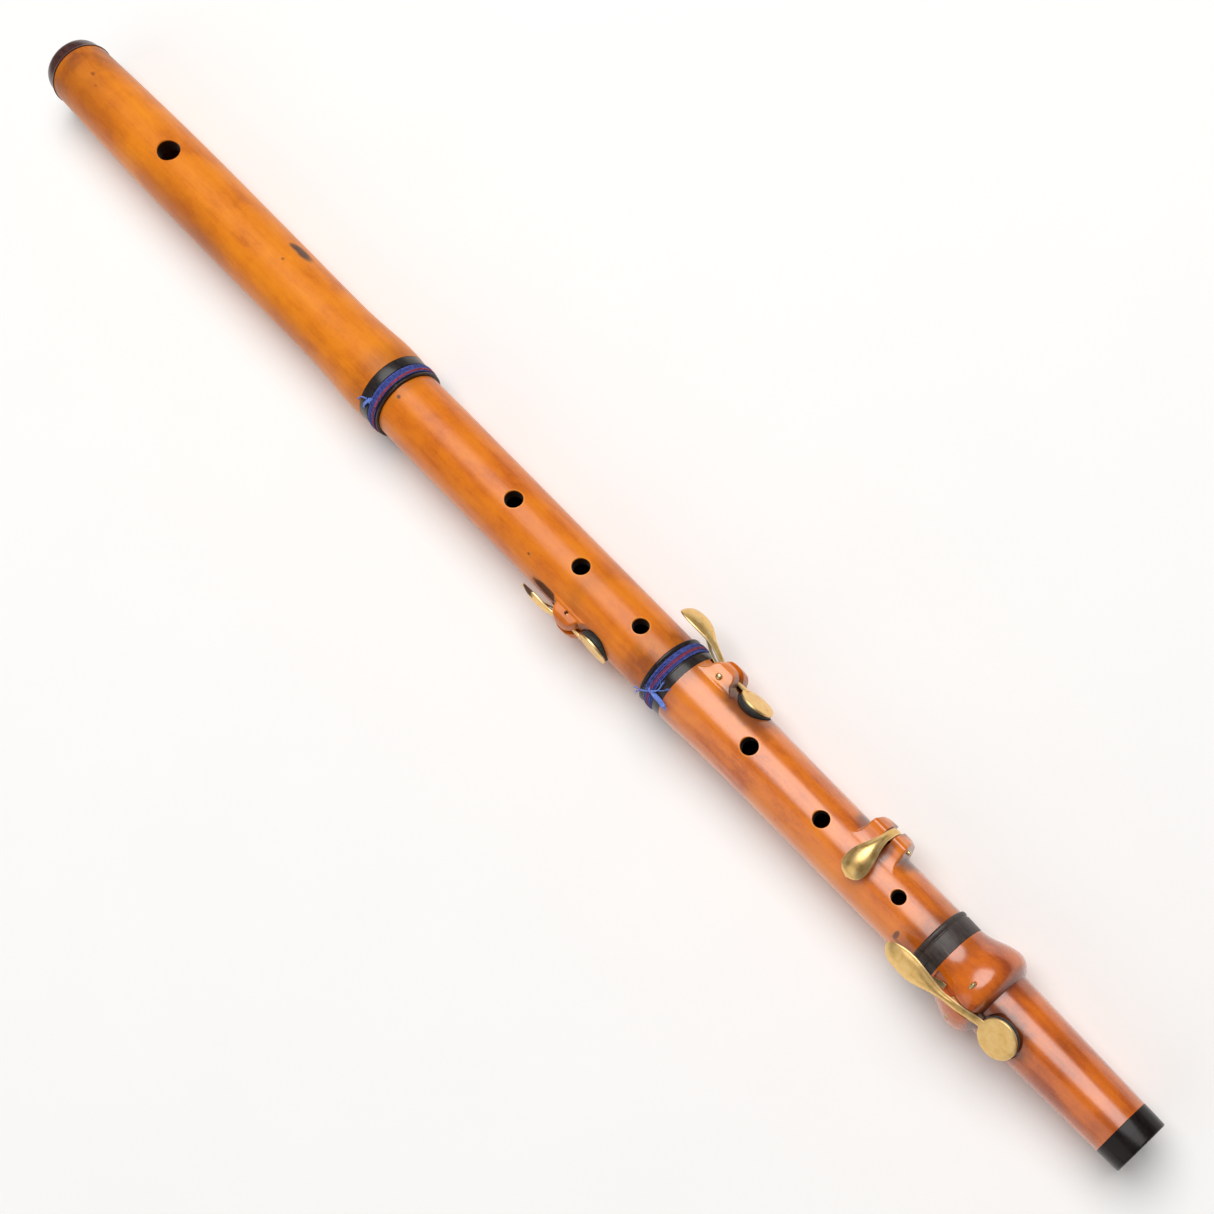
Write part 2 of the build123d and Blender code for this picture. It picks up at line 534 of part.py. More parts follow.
# E flat key, right little finger: it stands high over the foot's ring
with BuildPart() as e_flat_lever:
    with BuildSketch(side(EB["x"], EB["phi"])):
        with BuildLine():
            Polyline(strip([(-27.8, 19.4), (-26.0, 20.0), (-21, 20.4), (-15, 20.2), (-9, 19.3), (-5, 18.4),
                            (-2.2, 17.7), (2.2, 16.5), (5.0, 15.4), (7.2, 14.5), (9.0, 14.1), (11.2, 14.0)], 1.25), close=True)
        make_face()
    extrude(amount=6, both=True)
    with BuildSketch(plan(EB["x"], EB["phi"])):
        with BuildLine():
            top = lever_plan(-27.8, -6.5, 4.7, LEVER_W / 2, 11.2)
            Polyline(top + [(a, -b) for a, b in reversed(top)], close=True)
        make_face()
    extrude(amount=24, mode=Mode.INTERSECT)
    with BuildSketch(side(EB["x"], EB["phi"])):
        with Locations((0, EB["r"])):
            Circle(BARREL_R)
        with BuildLine():
            Polyline((-1.75, EB["r"]), (1.75, EB["r"]), (2.3, 16.0), (-2.3, 17.0), (-1.75, EB["r"]))
        make_face()
    extrude(amount=LEVER_W / 2, both=True)
    with BuildSketch(plan(EB["fx"], EB["phi"]).offset(EB["seat"] + PAD_T)):
        Circle(EB["fr"])
    extrude(amount=FLAP_T)
    with BuildSketch(side(EB["x"], EB["phi"])):
        with Locations((0, EB["r"])):
            Circle(PIN_HOLE)
    extrude(amount=6, both=True, mode=Mode.SUBTRACT)
e_flat_lever.part.label = "e_flat_lever"
export_step(e_flat_lever.part, "parts/e_flat_lever.step")

# short F key: turns across the joint, its touch crosses over the top
F_OUT = [(-6.6, 13.5), (-5.2, 14.9), (-2.5, 16.1), (1.0, 16.9), (5.0, 16.9), (8.5, 15.9), (11.5, 14.1),
         (14.0, 11.6), (15.6, 9.0), (16.2, 6.5), (16.0, 3.6), (15.3, 1.0), (14.6, -1.2)]
F_IN = [(13.5, -0.95), (14.05, 1.4), (14.5, 3.8), (14.8, 6.4), (14.4, 8.3), (12.9, 10.8), (10.6, 13.0),
        (7.8, 14.6), (4.7, 15.5), (1.2, 15.5), (-2.0, 14.8), (-4.4, 13.8), (-5.7, 12.7)]
with BuildPart() as short_f_lever:
    with BuildSketch(Plane.YZ.offset(X(FX))):
        with BuildLine():
            Polyline(F_OUT + F_IN, close=True)
        make_face()
    extrude(amount=6, both=True)
    with BuildSketch(Plane.XY.offset(-6)):
        with BuildLine():
            Spline([(X(FX), -6.6), (X(FX) - 3.4, -5.0), (X(FX) - 4.9, -1.2), (X(FX) - 4.3, 3.0), (X(FX) - 2.5, 7.6),
                    (X(FX) - LEVER_W / 2, 11.5)], tangents=[(-1, 0), (0.1, 1)])
            Polyline((X(FX) - LEVER_W / 2, 11.5), (X(FX) - LEVER_W / 2, 18), (X(FX) + LEVER_W / 2, 18),
                     (X(FX) + LEVER_W / 2, 11.5))
            Spline([(X(FX) + LEVER_W / 2, 11.5), (X(FX) + 2.5, 7.6), (X(FX) + 4.3, 3.0), (X(FX) + 4.9, -1.2),
                    (X(FX) + 3.4, -5.0), (X(FX), -6.6)], tangents=[(0.1, -1), (-1, 0)])
        make_face()
    extrude(amount=30, mode=Mode.INTERSECT)
    with BuildSketch(Plane.YZ.offset(X(FX))):
        with Locations((F_PIN_Y, F_PIN_Z)):
            Circle(1.7)
    extrude(amount=LEVER_W / 2, both=True)
    with BuildSketch(plan(FX, F_PHI).offset(F_SEAT + PAD_T)):
        Circle(F_FR)
    extrude(amount=FLAP_T)
    with BuildSketch(Plane.YZ.offset(X(FX))):
        with Locations((F_PIN_Y, F_PIN_Z)):
            Circle(PIN_HOLE)
    extrude(amount=6, both=True, mode=Mode.SUBTRACT)
short_f_lever.part.label = "short_f_lever"
export_step(short_f_lever.part, "parts/short_f_lever.step")

# pads: leather cushions under the flaps, resting on the flat seats
with BuildPart() as b_flat_pad:
    with BuildSketch(plan(BB["fx"], BB["phi"]).offset(BB["seat"] + 0.03)):
        Circle(BB["fr"] - 0.1)
    extrude(amount=PAD_T - 0.05)
    fillet(b_flat_pad.edges().filter_by(GeomType.CIRCLE), 0.6)
b_flat_pad.part.label = "b_flat_pad"
export_step(b_flat_pad.part, "parts/b_flat_pad.step")

with BuildPart() as g_sharp_pad:
    with BuildSketch(plan(GS["fx"], GS["phi"]).offset(GS["seat"] + 0.03)):
        Circle(GS["fr"] - 0.1)
    extrude(amount=PAD_T - 0.05)
    fillet(g_sharp_pad.edges().filter_by(GeomType.CIRCLE), 0.6)
g_sharp_pad.part.label = "g_sharp_pad"
export_step(g_sharp_pad.part, "parts/g_sharp_pad.step")

with BuildPart() as e_flat_pad:
    with BuildSketch(plan(EB["fx"], EB["phi"]).offset(EB["seat"] + 0.03)):
        Circle(EB["fr"] - 0.05)
    extrude(amount=PAD_T - 0.05)
    fillet(e_flat_pad.edges().filter_by(GeomType.CIRCLE), 0.6)
e_flat_pad.part.label = "e_flat_pad"
export_step(e_flat_pad.part, "parts/e_flat_pad.step")

with BuildPart() as short_f_pad:
    with BuildSketch(plan(FX, F_PHI).offset(F_SEAT + 0.03)):
        Circle(F_FR - 0.1)
    extrude(amount=PAD_T - 0.05)
    fillet(short_f_pad.edges().filter_by(GeomType.CIRCLE), 0.6)
short_f_pad.part.label = "short_f_pad"
export_step(short_f_pad.part, "parts/short_f_pad.step")

# pivot pins: driven into the cheeks, the levers turn on them
with BuildPart() as b_flat_pin:
    with BuildSketch(side(BB["x"], BB["phi"])):
        with Locations((0, BB["r"])):
            Circle(PIN_R)
    extrude(amount=5.2, both=True)
b_flat_pin.part.label = "b_flat_pin"
export_step(b_flat_pin.part, "parts/b_flat_pin.step")

with BuildPart() as g_sharp_pin:
    with BuildSketch(side(GS["x"], GS["phi"])):
        with Locations((0, GS["r"])):
            Circle(PIN_R)
    extrude(amount=6.2, both=True)
    # round head standing on the upper cheek
    with BuildSketch(side(GS["x"], GS["phi"]).offset(6.95)):
        with Locations((0, GS["r"])):
            Circle(1.25)
    extrude(amount=0.9)
    with BuildSketch(side(GS["x"], GS["phi"]).offset(6.0)):
        with Locations((0, GS["r"])):
            Circle(PIN_R)
    extrude(amount=1.2)
g_sharp_pin.part.label = "g_sharp_pin"
export_step(g_sharp_pin.part, "parts/g_sharp_pin.step")

with BuildPart() as e_flat_pin:
    with BuildSketch(side(EB["x"], EB["phi"]).offset(-9.3)):
        with Locations((0, EB["r"])):
            Circle(PIN_R)
    extrude(amount=17.3)
e_flat_pin.part.label = "e_flat_pin"
export_step(e_flat_pin.part, "parts/e_flat_pin.step")

with BuildPart() as short_f_pin:
    with BuildSketch(Plane.YZ.offset(X(FX) - 7.0)):
        with Locations((F_PIN_Y, F_PIN_Z)):
            Circle(PIN_R)
    extrude(amount=15.4)
short_f_pin.part.label = "short_f_pin"
export_step(short_f_pin.part, "parts/short_f_pin.step")


# leaf springs: riveted under the touches, their tips bear on the wood
def leaf(points):
    return list(points) + [(a, b - SPRING_T) for a, b in reversed(points)]


with BuildPart() as b_flat_spring:
    with BuildSketch(side(BB["x"], BB["phi"])):
        with BuildLine():
            Polyline(leaf([(-16.5, 15.93), (-12.5, 15.93), (-11.0, 15.5), (-8.6, 14.6), (-6.4, 14.0), (-4.6, 13.85)]), close=True)
        make_face()
    extrude(amount=SPRING_W / 2, both=True)
b_flat_spring.part.label = "b_flat_spring"
export_step(b_flat_spring.part, "parts/b_flat_spring.step")

with BuildPart() as g_sharp_spring:
    with BuildSketch(side(GS["x"], GS["phi"])):
        with BuildLine():
            Polyline(leaf([(-21.5, 19.75), (-18.2, 19.40), (-15.5, 18.4), (-12.0, 16.5), (-9.0, 14.9), (-6.6, 14.15),
                           (-5.2, 14.05)]), close=True)
        make_face()
    extrude(amount=SPRING_W / 2, both=True)
g_sharp_spring.part.label = "g_sharp_spring"
export_step(g_sharp_spring.part, "parts/g_sharp_spring.step")

with BuildPart() as e_flat_spring:
    with BuildSketch(side(EB["x"], EB["phi"])):
        with BuildLine():
            Polyline(leaf([(-19.5, 19.04), (-15.6, 18.88), (-13.4, 17.7), (-11.0, 15.9), (-9.0, 14.5), (-7.4, 13.9),
                           (-6.2, 13.8)]), close=True)
        make_face()
    extrude(amount=SPRING_W / 2, both=True)
e_flat_spring.part.label = "e_flat_spring"
export_step(e_flat_spring.part, "parts/e_flat_spring.step")

with BuildPart() as short_f_spring:
    with BuildSketch(Plane.YZ.offset(X(FX))):
        with BuildLine():
            Polyline((3.0, 15.42), (6.2, 15.0), (8.2, 13.9), (9.6, 12.2), (10.4, 10.6), (10.9, 9.4),
                     (10.6, 9.2), (10.05, 10.4), (9.3, 11.9), (8.0, 13.55), (6.1, 14.6), (3.0, 15.05), (3.0, 15.42))
        make_face()
    extrude(amount=SPRING_W / 2, both=True)
short_f_spring.part.label = "short_f_spring"
export_step(short_f_spring.part, "parts/short_f_spring.step")

print("finished", len(os.listdir("parts")))
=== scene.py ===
import bpy
import bmesh
import math
import numpy as np
from mathutils import Vector, Matrix


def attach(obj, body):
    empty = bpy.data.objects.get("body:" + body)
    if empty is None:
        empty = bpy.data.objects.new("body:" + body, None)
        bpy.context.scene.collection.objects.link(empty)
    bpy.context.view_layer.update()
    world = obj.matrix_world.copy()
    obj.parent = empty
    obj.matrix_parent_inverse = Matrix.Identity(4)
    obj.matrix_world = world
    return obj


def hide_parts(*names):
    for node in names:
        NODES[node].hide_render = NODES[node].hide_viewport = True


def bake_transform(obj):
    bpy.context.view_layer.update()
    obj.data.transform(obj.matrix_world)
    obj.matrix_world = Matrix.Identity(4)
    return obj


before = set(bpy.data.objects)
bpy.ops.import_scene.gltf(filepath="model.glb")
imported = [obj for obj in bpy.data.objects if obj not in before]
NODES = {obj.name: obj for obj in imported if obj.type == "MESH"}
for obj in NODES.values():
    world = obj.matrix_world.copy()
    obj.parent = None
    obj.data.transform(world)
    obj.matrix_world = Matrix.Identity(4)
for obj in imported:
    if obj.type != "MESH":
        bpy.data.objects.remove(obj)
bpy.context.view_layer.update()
scene = bpy.context.scene
SL = 523.4
RNG = np.random.default_rng(41)


def X(d):
    return d - SL


# ---------------------------------------------------------------------------
# camera, light, floor
# ---------------------------------------------------------------------------
def add_camera():
    th, yaw, roll = math.radians(23.06), math.radians(-0.02), math.radians(0.22)
    k = Vector((-math.sin(th), 0, -math.cos(th)))
    es = Vector((math.cos(th), 0, -math.sin(th)))
    et = Vector((0, 1, 0))
    fwd = k * math.cos(yaw) + et * math.sin(yaw)
    et2 = et * math.cos(yaw) - k * math.sin(yaw)
    es3 = es * math.cos(roll) + et2 * math.sin(roll)
    et3 = et2 * math.cos(roll) - es * math.sin(roll)
    a, b = 0.70478679, 0.70941919
    right = (es3 * a + et3 * b).normalized()
    up = (et3 * a - es3 * b).normalized()
    cam = bpy.data.cameras.new("camera")
    cam.sensor_fit, cam.sensor_width, cam.lens = "HORIZONTAL", 36.0, 36.0 * 1815 / 1214
    cam.clip_start, cam.clip_end = 0.01, 50
    ob = bpy.data.objects.new("camera", cam)
    m = Matrix((right, up, -fwd)).transposed().to_4x4()
    m.translation = Vector((0.00331, 0.0, 0.59354))
    ob.matrix_world = m
    scene.collection.objects.link(ob)
    scene.camera = ob


add_camera()
scene.view_settings.view_transform = "Standard"
scene.view_settings.look = "None"
scene.view_settings.exposure = 0.0
scene.view_settings.gamma = 1.0


def area_light(name, loc, target, size, power, color=(1, 1, 1)):
    data = bpy.data.lights.new(name, "AREA")
    data.shape, data.size, data.energy, data.color = "DISK", size, power, color
    ob = bpy.data.objects.new(name, data)
    ob.location = loc
    ob.rotation_euler = (Vector(target) - Vector(loc)).to_track_quat("-Z", "Y").to_euler()
    scene.collection.objects.link(ob)
    return ob


area_light("soft_key", (-0.70, 0.62, 2.2), (-0.26, 0.0, 0.0), 2.40, 56.0, (1.0, 0.990, 0.975))
area_light("low_fill", (-0.26, -1.60, 0.90), (-0.26, 0.0, 0.0), 1.90, 6.2, (1.0, 0.990, 0.980))
world = bpy.data.worlds.new("studio")
scene.world = world
world.use_nodes = True
bg = world.node_tree.nodes["Background"]
bg.inputs[0].default_value = (1.0, 0.992, 0.985, 1)
bg.inputs[1].default_value = 0.175


# ---------------------------------------------------------------------------
# a short way to write node materials
# ---------------------------------------------------------------------------
class Mat:
    def __init__(self, name):
        self.m = bpy.data.materials.new(name)
        self.m.use_nodes = True
        self.t = self.m.node_tree
        self.t.nodes.clear()
        self.out = self.t.nodes.new("ShaderNodeOutputMaterial")
        self.b = self.t.nodes.new("ShaderNodeBsdfPrincipled")
        self.t.links.new(self.b.outputs[0], self.out.inputs[0])
        tc = self.n("ShaderNodeTexCoord")
        self.p = self.vm("SCALE", tc.outputs["Object"], Scale=1000.0)   # millimetres

    def n(self, kind, _ins=None, **props):
        nd = self.t.nodes.new(kind)
        for k, v in props.items():
            setattr(nd, k, v)
        for k, v in (_ins or {}).items():
            self.put(nd.inputs[k], v)
        return nd

    def put(self, sock, v):
        if isinstance(v, bpy.types.NodeSocket):
            self.t.links.new(v, sock)
        elif isinstance(v, (tuple, list)) and len(v) == 3 and sock.type == "RGBA":
            sock.default_value = (*v, 1)
        else:
            sock.default_value = v

    def vm(self, op, a, b=None, Scale=None):
        ins = {0: a}
        if b is not None:
            ins[1] = b
        if Scale is not None:
            ins["Scale"] = Scale
        nd = self.n("ShaderNodeVectorMath", ins, operation=op)
        return nd.outputs["Value"] if op in ("LENGTH", "DISTANCE", "DOT_PRODUCT") else nd.outputs["Vector"]

    def ma(self, op, a, b=0.0, c=0.0, clamp=False):
        nd = self.n("ShaderNodeMath", {0: a, 1: b, 2: c}, operation=op, use_clamp=clamp)
        return nd.outputs[0]

    def noise(self, vec, scale=1.0, detail=3.0, rough=0.5, dist=0.0, mul=None, off=None):
        if mul is not None:
            vec = self.vm("MULTIPLY", vec, mul)
        if off is not None:
            vec = self.vm("ADD", vec, off)
        nd = self.n("ShaderNodeTexNoise", {"Vector": vec, "Scale": scale, "Detail": detail,
                                           "Roughness": rough, "Distortion": dist})
        return nd.outputs[0]

    def ramp(self, fac, stops, interp="LINEAR"):
        nd = self.n("ShaderNodeValToRGB", {0: fac})
        nd.color_ramp.interpolation = interp
        el = nd.color_ramp.elements
        while len(el) > len(stops):
            el.remove(el[-1])
        while len(el) < len(stops):
            el.new(1.0)
        for e, (pos, col) in zip(el, stops):
            e.position = pos
            e.color = (*col, 1) if len(col) == 3 else col
        return nd.outputs[0]

    def rng(self, v, a, b, c=0.0, d=1.0, smooth=True):
        nd = self.n("ShaderNodeMapRange", {0: v, 1: a, 2: b, 3: c, 4: d},
                    interpolation_type="SMOOTHSTEP" if smooth else "LINEAR")
        return nd.outputs[0]

    def mix(self, fac, a, b, blend="MIX"):
        nd = self.n("ShaderNodeMix", data_type="RGBA", blend_type=blend)
        self.put(nd.inputs[0], fac)
        self.put(nd.inputs[6], a)
        self.put(nd.inputs[7], b)
        return nd.outputs[2]

    def xyz(self, v=None):
        nd = self.n("ShaderNodeSeparateXYZ", {0: v or self.p})
        return nd.outputs[0], nd.outputs[1], nd.outputs[2]

    def bump(self, height, strength=0.3, dist=0.0001, normal=None):
        ins = {"Height": height, "Strength": strength, "Distance": dist}
        if normal is not None:
            ins["Normal"] = normal
        return self.n("ShaderNodeBump", ins).outputs[0]

    def spot(self, centre, radii, soft=0.55, wob=0.25, scale=0.35):
        """1 inside an irregular ellipsoid about a point, 0 outside."""
        d = self.vm("SUBTRACT", self.p, centre)
        d = self.vm("DIVIDE", d, radii)
        ln = self.vm("LENGTH", d)
        nz = self.noise(self.p, scale, 3.0)
        ln = self.ma("ADD", ln, self.ma("MULTIPLY", self.ma("SUBTRACT", nz, 0.5), wob * 2))
        return self.rng(ln, 1.0 + soft / 2, 1.0 - soft / 2)

    def set(self, **kw):
        for k, v in kw.items():
            self.put(self.b.inputs[k.replace("_", " ")], v)
        return self.m


def polar(d, phi, r):
    a = math.radians(phi)
    return (X(d), r * math.sin(a), r * math.cos(a))


# ---------------------------------------------------------------------------
# boxwood: cloudy amber stain, fine grain along the bore, wear and grime, and painted shade round the keys and in the
# holes
# ---------------------------------------------------------------------------
def boxwood(name, dark, mid, bright, rough, coat, coat_rough, seed, marks_and_shade=(), grime=(), rims=(), mottle=1.0, holes=(), sheen=0.1):
    g = Mat(name)
    P = g.vm("ADD", g.p, (seed * 37.0, seed * 11.0, seed * 23.0))
    cloud = g.noise(P, 0.065, 4.0, 0.55, 0.35, mul=(0.75, 1.0, 1.0))
    streak = g.noise(P, 1.0, 5.0, 0.6, 0.25, mul=(0.045, 0.42, 0.42))
    fibre = g.noise(P, 1.0, 4.0, 0.65, 0.0, mul=(0.28, 2.6, 2.6))
    fleck = g.noise(P, 0.85, 4.0, 0.7, 0.2)
    v = g.ma("MULTIPLY", cloud, 0.52 * mottle)
    v = g.ma("MULTIPLY_ADD", streak, 0.30, v)
    v = g.ma("MULTIPLY_ADD", fibre, 0.12, v)
    v = g.ma("MULTIPLY_ADD", fleck, 0.14, v)
    v = g.ma("ADD", v, 0.5 - 0.5 * (0.52 * mottle + 0.56))
    deep = tuple(c * 0.55 for c in dark)
    col = g.ramp(v, [(0.22, deep), (0.38, dark), (0.50, mid), (0.66, bright)])
    # small round flecks and pores
    pores = g.n("ShaderNodeTexVoronoi", {"Vector": g.vm("MULTIPLY", P, (0.20, 0.34, 0.34)), "Scale": 1.0},
                feature="F1").outputs["Distance"]
    pore = g.ma("MULTIPLY", g.rng(pores, 0.075, 0.03), g.rng(fleck, 0.46, 0.60))
    col = g.mix(g.ma("MULTIPLY", pore, 0.65), col, (0.16, 0.035, 0.004))
    # darker band of handling dirt, broken up by the cloud
    x, y, z = g.xyz()
    for d0, width, amount in grime:
        dd = g.ma("ABSOLUTE", g.ma("SUBTRACT", x, X(d0)))
        near = g.rng(dd, width, 0.0)
        blot = g.rng(g.noise(P, 0.085, 4.0, 0.55, 0.4), 0.34, 0.66)
        f = g.ma("MULTIPLY", g.ma("MULTIPLY", near, amount), g.ma("MULTIPLY_ADD", blot, 0.60, 0.40))
        col = g.mix(f, col, (0.17, 0.030, 0.006))
    # real spots and stains, and painted shade round the key blocks, ears and flaps
    for centre, radii, color, amount, soft in marks_and_shade:
        col = g.mix(g.ma("MULTIPLY", g.spot(centre, radii, soft), amount), col, color)
    # pale worn rims round the holes
    for centre, r in rims:
        ln = g.vm("LENGTH", g.vm("SUBTRACT", g.p, centre))
        edge = g.ma("MULTIPLY", g.rng(ln, r + 0.75, r + 0.30), 0.45)
        col = g.mix(edge, col, tuple(min(1.0, c * 1.25 + 0.03) for c in bright))
    # inside the bore and sockets the wood is bare and dark; its near-black colour is partly painted shade
    rad = g.vm("LENGTH", g.vm("MULTIPLY", g.p, (0.0, 1.0, 1.0)))
    inner = g.rng(rad, 9.9, 9.0) if seed != 4 else g.rng(rad, 8.9, 8.0)
    # the walls of every hole are bare, dark end grain below a thin worn rim; their near-black colour is partly painted
    # shade in the hole
    for d0, phi, hr, surf in holes:
        a = math.radians(phi)
        nv = (0.0, math.sin(a), math.cos(a))
        pv = g.vm("SUBTRACT", g.p, (X(d0), 0.0, 0.0))
        off = g.vm("LENGTH", g.vm("SUBTRACT", pv, g.vm("SCALE", nv, Scale=g.vm("DOT_PRODUCT", pv, nv))))
        side = g.ma("MULTIPLY", g.rng(off, hr + 1.0, hr + 0.5), g.rng(rad, surf - 0.20, surf - 0.75))
        up = g.rng(g.vm("DOT_PRODUCT", pv, nv), 0.0, 1.0)
        inner = g.ma("MAXIMUM", inner, g.ma("MULTIPLY", side, up))
    # near-black bore and hole walls: dark end grain plus painted shade
    col = g.mix(g.ma("MULTIPLY", inner, 0.97), col, (0.014, 0.005, 0.003))
    r = g.ma("MULTIPLY_ADD", g.ma("SUBTRACT", g.noise(P, 0.5, 4.0, 0.6), 0.5), 0.16, rough)
    scr = g.noise(P, 1.0, 3.0, 0.7, 0.0, mul=(1.9, 0.12, 0.12))
    r = g.ma("ADD", r, g.ma("MULTIPLY", g.rng(scr, 0.60, 0.72), 0.07))
    r = g.ma("MULTIPLY_ADD", inner, 0.3, r, clamp=True)
    h = g.ma("ADD", g.ma("MULTIPLY", fibre, 0.5), g.ma("MULTIPLY", g.noise(P, 0.24, 2.0), 1.2))
    h = g.ma("SUBTRACT", h, g.ma("MULTIPLY", pore, 0.6))
    nrm = g.bump(h, 0.35, 0.00006)
    g.set(Base_Color=col, Roughness=r, Normal=nrm, Specular_IOR_Level=g.ma("MULTIPLY_ADD", inner, -0.24, 0.26),
          Coat_Weight=g.ma("MULTIPLY", g.ma("SUBTRACT", 1.0, inner), coat), Coat_Roughness=coat_rough, IOR=1.5,
          Coat_IOR=1.75, Sheen_Weight=sheen, Sheen_Roughness=0.35)
    return g.m


HOLES_UP = ((223.9, 13.6, 3.55, 13.64), (261.4, 14.5, 3.40, 13.36), (293.3, 15.5, 3.10, 13.16))
HOLES_LO = ((351.2, 4.7, 3.20, 12.63), (385.7, 4.5, 2.95, 12.25), (421.1, 5.0, 2.50, 11.97))
# dark stain plus painted shade under the raised thumb touch
STAIN_AND_SHADE = (0.045, 0.022, 0.016)

m_head = boxwood("stained_boxwood_head", (0.63, 0.150, 0.0020), (0.80, 0.222, 0.0028), (0.90, 0.285, 0.0060), 0.48, 0.10, 0.35, 1,
                 marks_and_shade=[((X(78.5), 12.2, 8.4), (5.5, 2.2, 2.6), (0.05, 0.022, 0.020), 0.92, 0.9),
                        ((X(74.0), 11.6, 9.0), (2.4, 1.4, 1.6), (0.06, 0.024, 0.016), 0.8, 0.9),
                        (polar(22.0, -52.0, 15.1), (27.0, 8.0, 9.0), (0.36, 0.070, 0.004), 0.50, 1.5),
                        (polar(44.0, -60.0, 15.1), (14.0, 5.0, 6.0), (0.30, 0.055, 0.004), 0.45, 1.4),
                        (polar(-48.0, -30.0, 14.4), (20.0, 9.0, 9.0), (0.34, 0.065, 0.004), 0.40, 1.6),
                        (polar(98.0, -62.0, 14.6), (20.0, 5.0, 6.0), (0.34, 0.065, 0.004), 0.35, 1.5),
                        (polar(-58.0, 13.0, 14.4), (1.3, 0.8, 0.8), (0.22, 0.05, 0.008), 0.7, 0.8),
                        (polar(-52.0, 2.0, 14.5), (1.0, 0.6, 0.8), (0.30, 0.07, 0.010), 0.5, 0.8),
                        (polar(78.0, 20.0, 14.9), (0.8, 0.6, 0.8), (0.20, 0.045, 0.008), 0.7, 0.8)],
                 grime=[(-76.0, 34.0, 0.72), (147.0, 14.0, 0.40)], mottle=1.0, holes=((0.0, 12.3, 5.5, 15.2),), sheen=0.22)
m_upper = boxwood("stained_boxwood_upper", (0.60, 0.125, 0.0018), (0.77, 0.192, 0.0025), (0.88, 0.262, 0.0050), 0.40, 0.24, 0.26, 2,
                  marks_and_shade=[(polar(256.5, -60.0, 13.4), (8.0, 2.2, 2.4), STAIN_AND_SHADE, 0.88, 0.35),
                         (polar(160.0, -2.0, 13.9), (0.9, 0.7, 0.7), (0.08, 0.03, 0.03), 0.8, 0.8),
                         # painted shade of the thumb key's pad seat beside its flap
                         (polar(281.0, -62.0, 12.9), (7.5, 3.4, 3.4), (0.10, 0.030, 0.016), 0.75, 0.8),
                         (polar(243.0, -30.0, 13.5), (0.7, 0.5, 0.5), (0.15, 0.04, 0.01), 0.8, 0.8)],
                  grime=[(306.0, 15.0, 0.85), (158.0, 6.0, 0.30), (268.0, 8.0, 0.25)],
                  rims=[(polar(a, b, r), c) for a, b, c, r in HOLES_UP], holes=HOLES_UP, sheen=0.16)
m_lower = boxwood("stained_boxwood_lower", (0.52, 0.092, 0.0016), (0.77, 0.182, 0.0022), (0.91, 0.258, 0.0040), 0.30, 0.78, 0.25, 3,
                  marks_and_shade=[(polar(428.5, -42.0, 11.9), (0.9, 1.8, 1.8), (0.10, 0.020, 0.006), 0.85, 0.5),
                         (polar(430.0, -50.0, 11.9), (2.2, 0.7, 0.8), (0.16, 0.030, 0.006), 0.6, 0.8),
                         # this and the next eight spots: painted shade, with some grime, round the G sharp block and
                         # flap and round the F block, its ears and flap
                         (polar(339.0, 66.0, 12.6), (11.5, 7.5, 7.5), (0.085, 0.020, 0.008), 0.85, 0.8),
                         (polar(404.9, 80.0, 15.0), (3.4, 7.0, 7.0), (0.09, 0.020, 0.008), 0.85, 0.6),
                         (polar(414.0, 88.0, 12.5), (5.0, 6.0, 6.0), (0.12, 0.026, 0.008), 0.75, 0.9),
                         (polar(396.0, 88.0, 12.5), (5.0, 6.0, 6.0), (0.12, 0.026, 0.008), 0.60, 0.9),
                         (polar(333.5, 52.0, 13.6), (2.6, 4.0, 5.0), (0.09, 0.020, 0.008), 0.85, 0.9),
                         (polar(341.0, 36.0, 12.9), (11.0, 3.6, 4.2), (0.17, 0.036, 0.006), 0.70, 1.0),
                         (polar(395.5, 62.0, 13.0), (3.6, 5.0, 5.0), (0.17, 0.036, 0.006), 0.75, 1.0),
                         (polar(414.0, 62.0, 13.0), (3.6, 5.0, 5.0), (0.14, 0.030, 0.006), 0.80, 1.0),
                         (polar(407.8, 36.0, 12.4), (2.0, 5.5, 4.0), (0.16, 0.034, 0.006), 0.75, 0.9),
                         (polar(404.0, -4.0, 12.2), (6.5, 4.0, 3.0), (0.26, 0.050, 0.008), 0.45, 0.9)],
                  grime=[(436.0, 11.0, 0.75), (318.0, 7.0, 0.50)],
                  rims=[(polar(a, b, r), c) for a, b, c, r in HOLES_LO], holes=HOLES_LO)
m_foot = boxwood("stained_boxwood_foot", (0.40, 0.064, 0.0015), (0.64, 0.128, 0.0020), (0.82, 0.195, 0.0035), 0.26, 0.80, 0.20, 4,
                 # first spot: painted shade round the E flat flap and its pad seat
                 marks_and_shade=[(polar(472.0, -34.0, 11.4), (10.0, 8.0, 8.0), (0.075, 0.016, 0.008), 0.85, 0.7),
                        (polar(466.0, 55.0, 11.5), (5.0, 5.0, 5.0), (0.20, 0.035, 0.006), 0.5, 0.9)],
                 grime=[(464.3, 1.3, 1.6), (464.3, 3.4, 0.85), (447.0, 5.0, 0.40), (513.0, 6.0, 0.25), (488.0, 10.0, 0.2)])


